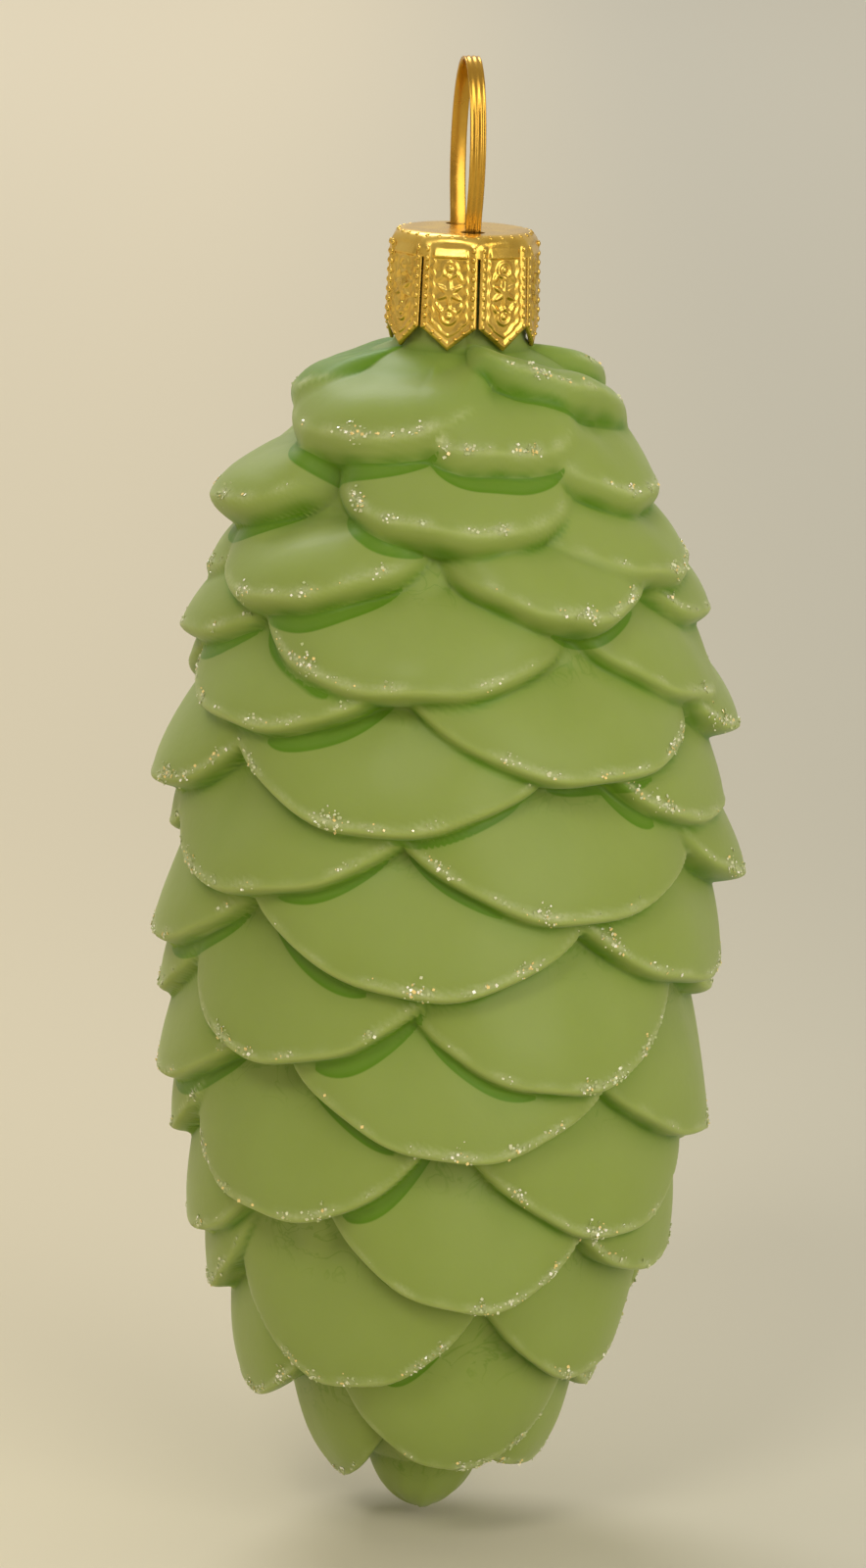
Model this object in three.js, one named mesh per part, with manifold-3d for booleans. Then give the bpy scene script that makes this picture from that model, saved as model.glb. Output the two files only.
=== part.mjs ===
import * as THREE from 'three';
import Module from 'manifold-3d';
import { mergeVertices } from 'three/addons/utils/BufferGeometryUtils.js';

// A hollow glass pine cone that hangs from a stamped metal cap with a spring hanger.
// Millimetres, +Z up. The origin is the inside top of the hanger's loop, where a hook bears.
// "Depth" is measured down from the cap's flat top. "Turn" is degrees from -Y towards +X.

// Hanger strip: the loop above the cap and the two legs inside the neck
const stripWidth = 1.25;
const stripThickness = 0.3;
const loopHeight = 13.3;
const loopWidth = 8.1;
const loopMiddle = 5.7;
const loopFootBend = 0.3;
const legLength = 34;
const legStraight = 5.5;
const legBowLength = 7;
const legBoreGap = 0.35;
const legPitch = 6;
const hangerSteps = 96;

// Neck of the glass, which the cap slips over
const neckRadius = 5;
const glassWall = 1;
const neckRimGap = 0.3;

// Cap: a thin cup whose skirt is slit into pointed tabs
const capWall = 0.3;
const capNeckGap = 0.35;
const capFlare = 0.3;
const capCornerRadius = 1;
const tabCount = 8;
const slotWidth = 0.3;
const slotTopDepth = 1.6;
const tabShoulderDepth = 7.1;
const tabPointDepth = 8.9;
const legHoleGap = 0.3;
const capTurn = 0.5;
const sidesPerTab = 6;

// Body of the cone: two half ellipses, the upper one squarer, through the lips of the scales
const glassLength = 103.1;
const bodyRadius = 22.7;
const widestDepth = 54;
const shoulderGap = 0.6;
const upperDepthPower = 2.6;
const upperRadiusPower = 2.2;
const smoothShoulder = 2.5;
const tipBudLength = 7;
const tipBudPower = 1.5;

// Scales: fifteen rows of overlapping rounded lips, raised from a core that runs below them
const coneTurn = -11;
const firstRowDepth = 14.6;
const lastRowRise = 2.8;
const coreInset = 3.6;
const insetStartDepth = 9;
const insetFullDepth = 19;
const usualHalfTurn = 37;
const farOverlap = 0.85;
const lipPower = 2.2;
const lipDrop = 1.8;
const lipRoundPower = 0.6;
const lipFade = 0.55;
const faceEase = 1.25;
const sideRoundStart = 0.85;
const sideRound = 0.35;

// Neighbouring scales run softly into each other, most of all on the shoulder
const scaleUnion = 8;
const shoulderUnion = 3.5;
const shoulderBlendStart = 10;
const shoulderBlendEnd = 20;

// The far side of a row is filled evenly, each scale a little out of line
const farTurnSwing = 4;
const farDrop = -0.8;
const farDropSway = 1.3;
const farHalfSwing = 3;
const farLean = 0.9;
const farLiftSway = 0.14;

// Each row gives its scales' lift above the core, length to their root, how plump they are
// (root) and how far the lip's ends rise above its middle. The near side lists its own scales:
// turn, drop below the row's line, and where they differ, half of the turn spanned, lean of the
// lip down towards the right, lift, rise of the lip's ends, power of its curve and fade.
const scaleRows = [
  {
    lift: 2.6, length: 7.5, root: 2, rise: 3, ease: 1.8,
    near: [
      { turn: -98, drop: -1, half: 34, lift: 2.3 },
      { turn: -38, drop: 0.5, half: 44, lean: -0.4, rise: 2.4, power: 3, fade: 0.35 },
      { turn: 16, drop: 1, half: 27, rise: 1.6, power: 3, fade: 0.35 },
      { turn: 52, drop: -2.2, half: 40, lean: 2.8, rise: 1, fade: 0.35 },
    ],
  },
  {
    lift: 3.6, length: 8, root: 2, rise: 3.5,
    near: [
      { turn: -86, drop: 1, half: 34, lift: 4.9 },
      { turn: 0, drop: 0.4, lean: 0.3 },
      { turn: 64, drop: -1.8, half: 34, lean: 0.8, lift: 3.3 },
    ],
  },
  {
    lift: 3.8, length: 8, root: 2, rise: 3.5,
    near: [
      { turn: -96, drop: 0.2, half: 26, lift: 3.1 },
      { turn: -46, drop: 0.2, half: 33, lean: -0.6, lift: 4 },
      { turn: 30, drop: 0.4, half: 28, lean: 0.5 },
      { turn: 62, drop: -2, half: 34, lean: 0.6, lift: 3.4 },
    ],
  },
  {
    lift: 3.7, length: 9, root: 1.8, rise: 4,
    near: [
      { turn: -88, drop: -1.2 },
      { turn: -14, drop: 0, lean: 0.8 },
      { turn: 92, drop: -3.8, half: 34, lift: 3.2 },
    ],
  },
  {
    lift: 3.7, length: 9.5, root: 1.7, rise: 4.5,
    near: [
      { turn: -46, drop: -2.5, lean: -0.8 },
      { turn: 30, drop: 0.2, half: 38, lean: 1.2 },
      { turn: 70, drop: -4.6, half: 33, lean: 1, lift: 3.1 },
      { turn: 98, drop: -0.4, half: 33, lift: 4.6 },
    ],
  },
  {
    lift: 3.7, length: 10.5, root: 1.6, rise: 5,
    near: [
      { turn: -88, drop: -1.6, lift: 4.1 },
      { turn: -16, drop: -1.9, half: 38, lean: 0.6 },
      { turn: 68, drop: -1.2, half: 34, lean: 1, lift: 3.4 },
    ],
  },
  {
    lift: 3.6, length: 11, root: 1.5, rise: 5,
    near: [
      { turn: -98, drop: -3.2, half: 30, lift: 2.7 },
      { turn: -44, drop: -2, lean: -1 },
      { turn: 29, drop: -1.3, half: 38, lean: 0.8 },
      { turn: 94, drop: -1.4, half: 34, lift: 4.6 },
    ],
  },
  {
    lift: 3.6, length: 11.5, root: 1.5, rise: 5.5,
    near: [
      { turn: -84, drop: -1.6, lift: 3.7 },
      { turn: -6, drop: -1.8, half: 39, lean: 0.8 },
      { turn: 66, drop: -0.8, half: 36, lean: 1 },
    ],
  },
  {
    lift: 3.5, length: 11.5, root: 1.5, rise: 5.5,
    near: [
      { turn: -94, drop: -2.8, half: 30, lift: 3.2 },
      { turn: -34, drop: -1.4, half: 33, lean: -1 },
      { turn: 29, drop: 0, half: 32, lean: -0.3 },
      { turn: 94, drop: -4, half: 30, lift: 2.6 },
    ],
  },
  {
    lift: 3.6, length: 12, root: 1.4, rise: 5.5,
    near: [
      { turn: -84, drop: -2.8 },
      { turn: 4, drop: -1, lean: 0.6 },
      { turn: 78, drop: 0, lift: 3.9 },
    ],
  },
  {
    lift: 3.5, length: 12, root: 1.4, rise: 6,
    near: [
      { turn: -94, drop: -3.4, half: 30, lift: 3.4 },
      { turn: -36, drop: -0.8, half: 36, lean: -0.8 },
      { turn: 47, drop: 0.2, half: 36 },
      { turn: 96, drop: -4, half: 30, lift: 2.4 },
    ],
  },
  {
    lift: 3.5, length: 12, root: 1.4, rise: 6,
    near: [
      { turn: -82, drop: -2.6 },
      { turn: 10, drop: -0.4, half: 33 },
      { turn: 70, drop: -1.4, half: 36 },
    ],
  },
  {
    lift: 3.4, length: 12, root: 1.4, rise: 6,
    near: [
      { turn: -86, drop: -3.6, half: 30 },
      { turn: -26, drop: 1.2, half: 36, lean: 0.8 },
      { turn: 54, drop: 1, half: 36, lift: 3 },
    ],
  },
  {
    lift: 3.2, length: 12, root: 1.4, rise: 6,
    near: [
      { turn: -74, drop: -2, half: 40, lift: 3.9 },
      { turn: 14, drop: 3, half: 42 },
      { turn: 80, drop: -2.6, half: 40, lift: 2.4 },
    ],
  },
  {
    lift: 2.9, length: 10, root: 1.4, rise: 5,
    near: [
      { turn: -72, drop: 0, half: 50 },
      { turn: 64, drop: -2, half: 50 },
    ],
  },
];

// How finely the glass is faceted
const glassSides = 72;
const outsideRings = 68;
const insideRings = 12;

// Values that follow from the ones above
const capTopZ = stripThickness - loopHeight;
const boreRadius = neckRadius - glassWall;
const neckRimDepth = capWall + neckRimGap;
const capRadius = neckRadius + capNeckGap + capWall;
const capFootRadius = capRadius + capFlare;
const shoulderDepth = tabPointDepth - shoulderGap;
const upperLength = widestDepth - shoulderDepth;
const lowerLength = glassLength - widestDepth;
const rowPitch = (glassLength - firstRowDepth - lastRowRise) / (scaleRows.length - 1);

const { clamp, degToRad, euclideanModulo, lerp, smoothstep } = THREE.MathUtils;

const wasm = await Module();
wasm.setup();

function toSolid(geometry) {
  const plain = geometry.clone();
  plain.deleteAttribute('normal');
  plain.deleteAttribute('uv');
  const merged = mergeVertices(plain, 1e-4);
  const vertProperties = new Float32Array(merged.attributes.position.array);
  const triVerts = new Uint32Array(merged.index.array);
  return new wasm.Manifold(new wasm.Mesh({ numProp: 3, vertProperties, triVerts }));
}

function cutAway(geometry, cutters) {
  let solid = toSolid(geometry);
  for (const cutter of cutters) {
    solid = solid.subtract(toSolid(cutter));
  }
  const mesh = solid.getMesh();
  const result = new THREE.BufferGeometry();
  result.setAttribute('position', new THREE.BufferAttribute(mesh.vertProperties, 3));
  result.setIndex(new THREE.BufferAttribute(mesh.triVerts, 1));
  return result;
}

// Outline through the lips: x is the radius and y the depth, from the neck to the tip
function outlinePoint(sweep) {
  const across = Math.cos(sweep);
  const along = Math.sin(Math.abs(sweep));
  if (sweep >= 0) {
    return new THREE.Vector2(bodyRadius * across, widestDepth + lowerLength * along);
  }
  const radius = bodyRadius * across ** (2 / upperRadiusPower);
  return new THREE.Vector2(radius, widestDepth - upperLength * along ** (2 / upperDepthPower));
}

function sampleOutline(samples) {
  const neckSweep = -Math.acos((neckRadius / bodyRadius) ** (upperRadiusPower / 2));
  const outline = [{ point: outlinePoint(neckSweep), length: 0 }];
  for (let i = 1; i <= samples; i++) {
    const before = outline[i - 1];
    const point = outlinePoint(lerp(neckSweep, Math.PI / 2, i / samples));
    outline.push({ point, length: before.length + before.point.distanceTo(point) });
  }
  return outline;
}

const outline = sampleOutline(400);
const outlineLength = outline[outline.length - 1].length;

// Point and outward direction at a length measured along the outline from the neck
function alongOutline(length) {
  const next = Math.max(1, outline.findIndex((sample) => sample.length >= length));
  const low = outline[next - 1];
  const high = outline[next];
  const heading = high.point.clone().sub(low.point).normalize();
  const share = (length - low.length) / (high.length - low.length);
  const point = low.point.clone().lerp(high.point, share);
  return { point, outward: new THREE.Vector2(heading.y, -heading.x) };
}

function lengthAtDepth(depth) {
  const next = outline.findIndex((sample) => sample.point.y >= depth);
  const low = outline[next - 1];
  const high = outline[next];
  const share = (depth - low.point.y) / (high.point.y - low.point.y);
  return lerp(low.length, high.length, share);
}

// The far side of a row: even steps from its last near scale round to its first
function farScales(row, index) {
  const start = row.near[row.near.length - 1].turn;
  const open = row.near[0].turn + 360 - start;
  const steps = Math.round(open / (2 * usualHalfTurn * farOverlap));
  const far = [];
  for (let i = 1; i < steps; i++) {
    const sway = Math.sin(2.4 * index + 4.1 * i);
    const swing = Math.sin(5.3 * index + 1.7 * i);
    far.push({
      turn: start + (open * i) / steps + farTurnSwing * swing,
      drop: farDrop + farDropSway * sway,
      half: usualHalfTurn + farHalfSwing * swing,
      lean: farLean * swing,
      lift: row.lift * (1 + farLiftSway * sway),
    });
  }
  return far;
}

function makeScale(place, row, rowDepth) {
  const lip = lengthAtDepth(rowDepth + place.drop);
  return {
    turn: place.turn,
    half: place.half ?? usualHalfTurn,
    lean: place.lean ?? 0,
    lift: place.lift ?? row.lift,
    length: Math.min(row.length, lip - smoothShoulder),
    root: row.root,
    ease: row.ease ?? faceEase,
    rise: place.rise ?? row.rise,
    power: place.power ?? lipPower,
    fade: place.fade ?? lipFade,
    lip,
  };
}

const scales = scaleRows.flatMap((row, index) => {
  const places = [...row.near, ...farScales(row, index)];
  return places.map((place) => makeScale(place, row, firstRowDepth + index * rowPitch));
});

// Height of one scale above the core: round over its lip and falling away to its root
function scaleHeight(scale, turn, length) {
  const across = (euclideanModulo(turn - scale.turn + 180, 360) - 180) / scale.half;
  const pastSide = Math.max(Math.abs(across) - sideRoundStart, 0) / sideRound;
  const ends = scale.lean * across - scale.rise * Math.abs(across) ** scale.power;
  const above = scale.lip + ends - length;
  if (pastSide >= 1 || above < -lipDrop || above > scale.length) {
    return 0;
  }
  const underLip = (1 - (above / lipDrop) ** 2) ** lipRoundPower;
  const face = (1 - Math.max(above / scale.length, 0) ** scale.root) ** scale.ease;
  const side = (1 - scale.fade * across ** 2) * Math.sqrt(1 - pastSide ** 2);
  return scale.lift * (above < 0 ? underLip : face) * side;
}

function surfaceHeight(turn, length) {
  const fromTip = (outlineLength - length) / tipBudLength;
  const bud = coreInset * Math.max(0, 1 - fromTip ** tipBudPower);
  const along = (length - shoulderBlendStart) / (shoulderBlendEnd - shoulderBlendStart);
  const power = lerp(shoulderUnion, scaleUnion, clamp(along, 0, 1));
  let total = bud ** power;
  for (const scale of scales) {
    total += scaleHeight(scale, turn, length) ** power;
  }
  return total ** (1 / power);
}

function insetAt(depth) {
  return coreInset * smoothstep(depth, insetStartDepth, insetFullDepth);
}

function conePoint(radius, depth, turn) {
  const angle = degToRad(turn + coneTurn);
  return new THREE.Vector3(radius * Math.sin(angle), -radius * Math.cos(angle), -depth);
}

function ringOf(pointAtTurn) {
  return Array.from({ length: glassSides }, (_, side) => pointAtTurn((360 * side) / glassSides));
}

function roundRing(radius, depth) {
  return ringOf((turn) => conePoint(radius, depth, turn));
}

function scaledRing(length) {
  const { point, outward } = alongOutline(length);
  return ringOf((turn) => {
    const height = surfaceHeight(turn, length) - insetAt(point.y);
    return conePoint(point.x + height * outward.x, point.y + height * outward.y, turn);
  });
}

function insideRing(length) {
  const { point, outward } = alongOutline(length);
  const inset = insetAt(point.y) + glassWall;
  return roundRing(point.x - inset * outward.x, point.y - inset * outward.y);
}

// Closed skin from one point through rings of points to another point
function closedSkin(firstPoint, rings, lastPoint) {
  const points = [firstPoint, ...rings.flat(), lastPoint];
  const sides = rings[0].length;
  const last = points.length - 1;
  const index = [];
  for (let side = 0; side < sides; side++) {
    const beside = (side + 1) % sides;
    index.push(0, 1 + side, 1 + beside);
    for (let ring = 1; ring < rings.length; ring++) {
      const after = 1 + ring * sides;
      const before = after - sides;
      index.push(before + side, after + side, before + beside);
      index.push(before + beside, after + side, after + beside);
    }
    index.push(last - sides + side, last, last - sides + beside);
  }
  const positions = points.flatMap((point) => point.toArray());
  const geometry = new THREE.BufferGeometry();
  geometry.setAttribute('position', new THREE.Float32BufferAttribute(positions, 3));
  geometry.setIndex(index);
  return geometry;
}

// Glass: one blown shell, smooth inside, from its inner tip up the bore and down the outside
function makeGlass() {
  const boreFoot = shoulderDepth + 2 * glassWall;
  const rings = [];
  for (let i = insideRings - 1; i > 0; i--) {
    rings.push(insideRing((outlineLength * i) / insideRings));
  }
  rings.push(roundRing(boreRadius, boreFoot), roundRing(boreRadius, neckRimDepth));
  rings.push(roundRing(neckRadius, neckRimDepth), roundRing(neckRadius, shoulderDepth));
  for (let i = 1; i < outsideRings; i++) {
    rings.push(scaledRing((outlineLength * i) / outsideRings));
  }
  const innerTip = conePoint(0, glassLength - coreInset - glassWall, 0);
  return closedSkin(innerTip, rings, conePoint(0, glassLength, 0));
}

function capCup() {
  const bend = capRadius - capCornerRadius;
  const profile = new THREE.Path();
  profile.moveTo(0, -capWall);
  profile.lineTo(bend, -capWall);
  profile.absarc(bend, -capCornerRadius, capCornerRadius - capWall, Math.PI / 2, 0, true);
  profile.lineTo(capFootRadius - capWall, -tabPointDepth);
  profile.lineTo(capFootRadius, -tabPointDepth);
  profile.lineTo(capRadius, -capCornerRadius);
  profile.absarc(bend, -capCornerRadius, capCornerRadius, 0, Math.PI / 2, false);
  profile.lineTo(0, 0);
  const cup = new THREE.LatheGeometry(profile.getPoints(3), tabCount * sidesPerTab);
  cup.rotateX(Math.PI / 2);
  cup.rotateZ(degToRad(capTurn));
  return cup;
}

// Slot between two tabs, opening below into the notch that leaves their points
function tabSlot(turn) {
  const overrun = 1;
  const half = slotWidth / 2;
  const halfPitch = (capFootRadius * Math.PI) / tabCount;
  const slope = halfPitch / (tabPointDepth - tabShoulderDepth);
  const foot = -tabPointDepth - overrun;
  const mouth = half + slope * (tabPointDepth - tabShoulderDepth + overrun);
  const notch = new THREE.Shape([
    new THREE.Vector2(-half, -slotTopDepth),
    new THREE.Vector2(-half, -tabShoulderDepth),
    new THREE.Vector2(-mouth, foot),
    new THREE.Vector2(mouth, foot),
    new THREE.Vector2(half, -tabShoulderDepth),
    new THREE.Vector2(half, -slotTopDepth),
  ]);
  const reach = capFootRadius - boreRadius + overrun;
  const cutter = new THREE.ExtrudeGeometry(notch, { depth: reach, bevelEnabled: false });
  cutter.rotateX(Math.PI / 2);
  cutter.translate(0, -boreRadius, 0);
  cutter.rotateZ(degToRad(turn));
  return cutter;
}

// Hole in the cap's top for one leg of the hanger
function legHole(side) {
  const radius = Math.hypot(stripWidth, stripThickness) / 2 + legHoleGap;
  const hole = new THREE.CylinderGeometry(radius, radius, 4 * capWall, 20);
  hole.rotateX(Math.PI / 2);
  hole.translate(0, (side * legPitch) / 2, -capWall / 2);
  return hole;
}

// Cap: drawn cup, slit into tabs, with its top pierced for the hanger
function makeCap() {
  const cutters = [legHole(-1), legHole(1)];
  for (let i = 0; i < tabCount; i++) {
    cutters.push(tabSlot(capTurn + (360 * i) / tabCount));
  }
  return cutAway(capCup(), cutters);
}

// Middle of the hanger's strip: up one leg, round the loop in the YZ plane, down the other
class HangerPath extends THREE.Curve {
  constructor() {
    super();
    this.loopHalf = (loopWidth - stripThickness) / 2;
    this.loopRise = loopHeight - stripThickness / 2 - loopMiddle;
    this.legHalf = legPitch / 2;
    this.bowHalf = boreRadius - legBoreGap - stripThickness / 2;
    this.sideLength = loopMiddle + legLength;
    this.archLength = (Math.PI / Math.SQRT2) * Math.hypot(this.loopHalf, this.loopRise);
    this.total = 2 * this.sideLength + this.archLength;
  }

  halfWidth(height) {
    const drop = clamp((loopMiddle - height) / this.loopRise, 0, 1);
    const widest = this.loopHalf - this.legHalf;
    const wider = this.loopHalf * Math.sqrt(1 - drop ** 2) - this.legHalf;
    const full = widest + Math.hypot(widest, loopFootBend);
    const bulge = (wider + Math.hypot(wider, loopFootBend)) / full;
    const bow = smoothstep(-height, legStraight, legStraight + legBowLength);
    return this.legHalf + widest * bulge + (this.bowHalf - this.legHalf) * bow;
  }

  getPoint(t, target = new THREE.Vector3()) {
    const travel = t * this.total;
    const fromEnd = Math.min(travel, this.total - travel);
    if (fromEnd <= this.sideLength) {
      const height = fromEnd - legLength;
      const side = travel < this.total / 2 ? -1 : 1;
      return target.set(0, side * this.halfWidth(height), height);
    }
    const angle = (Math.PI * (travel - this.sideLength)) / this.archLength;
    const y = -this.loopHalf * Math.cos(angle);
    return target.set(0, y, loopMiddle + this.loopRise * Math.sin(angle));
  }
}

// Hanger: one flat strip, its width along X
function makeHanger() {
  const halfWidth = stripWidth / 2;
  const halfThickness = stripThickness / 2;
  const section = new THREE.Shape([
    new THREE.Vector2(-halfThickness, -halfWidth),
    new THREE.Vector2(halfThickness, -halfWidth),
    new THREE.Vector2(halfThickness, halfWidth),
    new THREE.Vector2(-halfThickness, halfWidth),
  ]);
  const extrudePath = new HangerPath();
  return new THREE.ExtrudeGeometry(section, { steps: hangerSteps, bevelEnabled: false, extrudePath });
}

const glassMaterial = new THREE.MeshStandardMaterial({
  color: 0x8fa84f,
  roughness: 0.35,
  metalness: 0,
});
const goldMaterial = new THREE.MeshStandardMaterial({
  color: 0xc98f1f,
  roughness: 0.3,
  metalness: 1,
});

// The pieces are made with the cap's flat top at Z = 0 and set below the loop together
const ornament = new THREE.Group();
ornament.position.z = capTopZ;

function addPiece(name, geometry, material) {
  const mesh = new THREE.Mesh(geometry, material);
  mesh.name = name;
  ornament.add(mesh);
}

addPiece('glass_cone', makeGlass(), glassMaterial);
addPiece('cap', makeCap(), goldMaterial);
addPiece('hanger', makeHanger(), goldMaterial);

export default ornament;
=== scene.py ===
import math

import bpy
import numpy as np
from mathutils import Matrix, Vector


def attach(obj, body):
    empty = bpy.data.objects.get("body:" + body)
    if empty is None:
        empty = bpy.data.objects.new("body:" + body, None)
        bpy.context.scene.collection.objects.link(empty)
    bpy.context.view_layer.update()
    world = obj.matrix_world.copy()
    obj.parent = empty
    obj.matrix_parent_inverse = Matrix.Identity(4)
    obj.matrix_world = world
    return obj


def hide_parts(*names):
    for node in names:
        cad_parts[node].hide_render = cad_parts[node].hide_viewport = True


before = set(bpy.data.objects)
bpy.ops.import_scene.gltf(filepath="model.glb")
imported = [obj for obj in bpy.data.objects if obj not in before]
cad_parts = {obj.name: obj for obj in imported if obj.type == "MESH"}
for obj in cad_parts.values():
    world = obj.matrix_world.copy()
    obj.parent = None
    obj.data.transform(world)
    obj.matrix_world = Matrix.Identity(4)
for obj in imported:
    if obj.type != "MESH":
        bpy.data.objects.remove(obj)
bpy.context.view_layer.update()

# Glass cone
# A hollow pine cone of thin soda-lime glass, blown into a two-part mould and coated with a
# milky green satin lacquer. Its colour is painted deeper green in the grooves, under the lips
# and under the cap, partly painted shade and partly pooled lacquer, and paler on the lip ridges,
# partly a painted highlight and partly thinner lacquer. The plain neck at the top goes up into
# the metal cap.

CAP_TOP_Z = -13.0
NECK_RADIUS = 5.0
GLASS_WALL = 1.0
NECK_RIM_DEPTH = 0.6
SHOULDER_DEPTH = 8.3
GLASS_LENGTH = 103.1
BODY_RADIUS = 22.7
WIDEST_DEPTH = 54.0
UPPER_DEPTH_POWER = 2.6
UPPER_RADIUS_POWER = 2.2
SMOOTH_SHOULDER = 2.5
TIP_BUD_LENGTH = 7.0
TIP_BUD_POWER = 1.5
CONE_TURN = -11.0
FIRST_ROW_DEPTH = 14.6
LAST_ROW_RISE = 2.8
CORE_INSET = 3.6
INSET_START = 9.0
INSET_FULL = 19.0
USUAL_HALF_TURN = 37.0
FAR_OVERLAP = 0.85
FAR_TURN_SWING = 4.0
FAR_DROP = -0.8
FAR_DROP_SWAY = 1.3
FAR_HALF_SWING = 3.0
FAR_LEAN = 0.9
FAR_LIFT_SWAY = 0.14
FACE_EASE = 1.25
FIRST_ROW_EASE = 1.8
THICK_ROWS = 1
THINNING_ROWS = 3
LIP_POWER = 2.2
PLUMP_LIP_DROP = 1.5
THIN_LIP_DROP = 0.85
LIP_ROUND_POWER = 0.6
LIP_FADE = 0.55
LIP_WOBBLE = 0.18
LIP_BEAD = 0.1
LIP_BEAD_WIDTH = 0.3
LIP_BEAD_RISE = 0.1
GLUE_RISE = 0.4
FACE_RIPPLE = 0.09
FOOT_SHARE = 0.85
FOOT_LINE_WIDTH = 0.36
FOOT_LINE_MEAN = 0.6
FOOT_LINE_WAVE = 0.35
POOL_HALF_WIDTH = 0.62
POOL_OVER_LIP = -0.25
NO_POOL = -1.0
SOFT_UNION = 8
SHOULDER_UNION = 3.5
SHOULDER_BLEND = (10.0, 20.0)
SIDE_ROUND_START = 0.85
SIDE_ROUND = 0.35
SCALE_EDGE = 1.2
NEAR_HALVES = 1.25
NEAR_MARGIN = 9
PLUMP_GLUE_WIDTH = 0.38
THIN_GLUE_WIDTH = 0.24
GLITTER_MEAN = 0.42
GLITTER_WAVE = 0.24
GLITTER_END = 0.3
GLASS_SIDES = 288
OUTSIDE_RINGS = 322
INSIDE_RINGS = 12
OUTLINE_SAMPLES = 1600
RING_SAMPLES = 1500
FLAT_CROWDING = 0.3
LIP_CROWDING = 0.9
STEEP_CROWDING = 1.3
# Green of the painted shade and pooled lacquer in grooves and under lips
SHADE_AND_POOL_GREEN = "#5d8510"
# Painted shade and pooled lacquer in recesses: how far round and how deep a recess is, and the most
# green it gets
RECESS_REACH = 5
RECESS_DEPTH = 2
RECESS_SHADE_MOST = 0.3
# Painted shade under the cap, partly thick lacquer on the shoulder
UNDER_CAP_SHADE_AND_POOL = 0.5
WRINKLE_HEIGHT = 1.2
WRINKLE_FADE = 0.8
LIP_CLEARS = 0.7
# Painted highlight on the lip ridges, partly thinner lacquer there
LIP_HIGHLIGHT_AND_THIN_COAT = 0.5


def scale(turn, drop, **own):
    """One scale of the near side: degrees round the cone, and its lip's drop in its row.

    Its own values may be: half (degrees), lean, lift, rise, power, fade and wobble of the lip,
    shade pool: where deeper green is painted under the lip, partly painted shade and partly pooled
    lacquer, from and to a share of half, and how much,
    over: how far above the lip's own height that green climbs, in millimetres,
    and shade cover: how much painted shadow lies on the scale itself.
    """
    return {"turn": turn, "drop": drop, **own}


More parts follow.
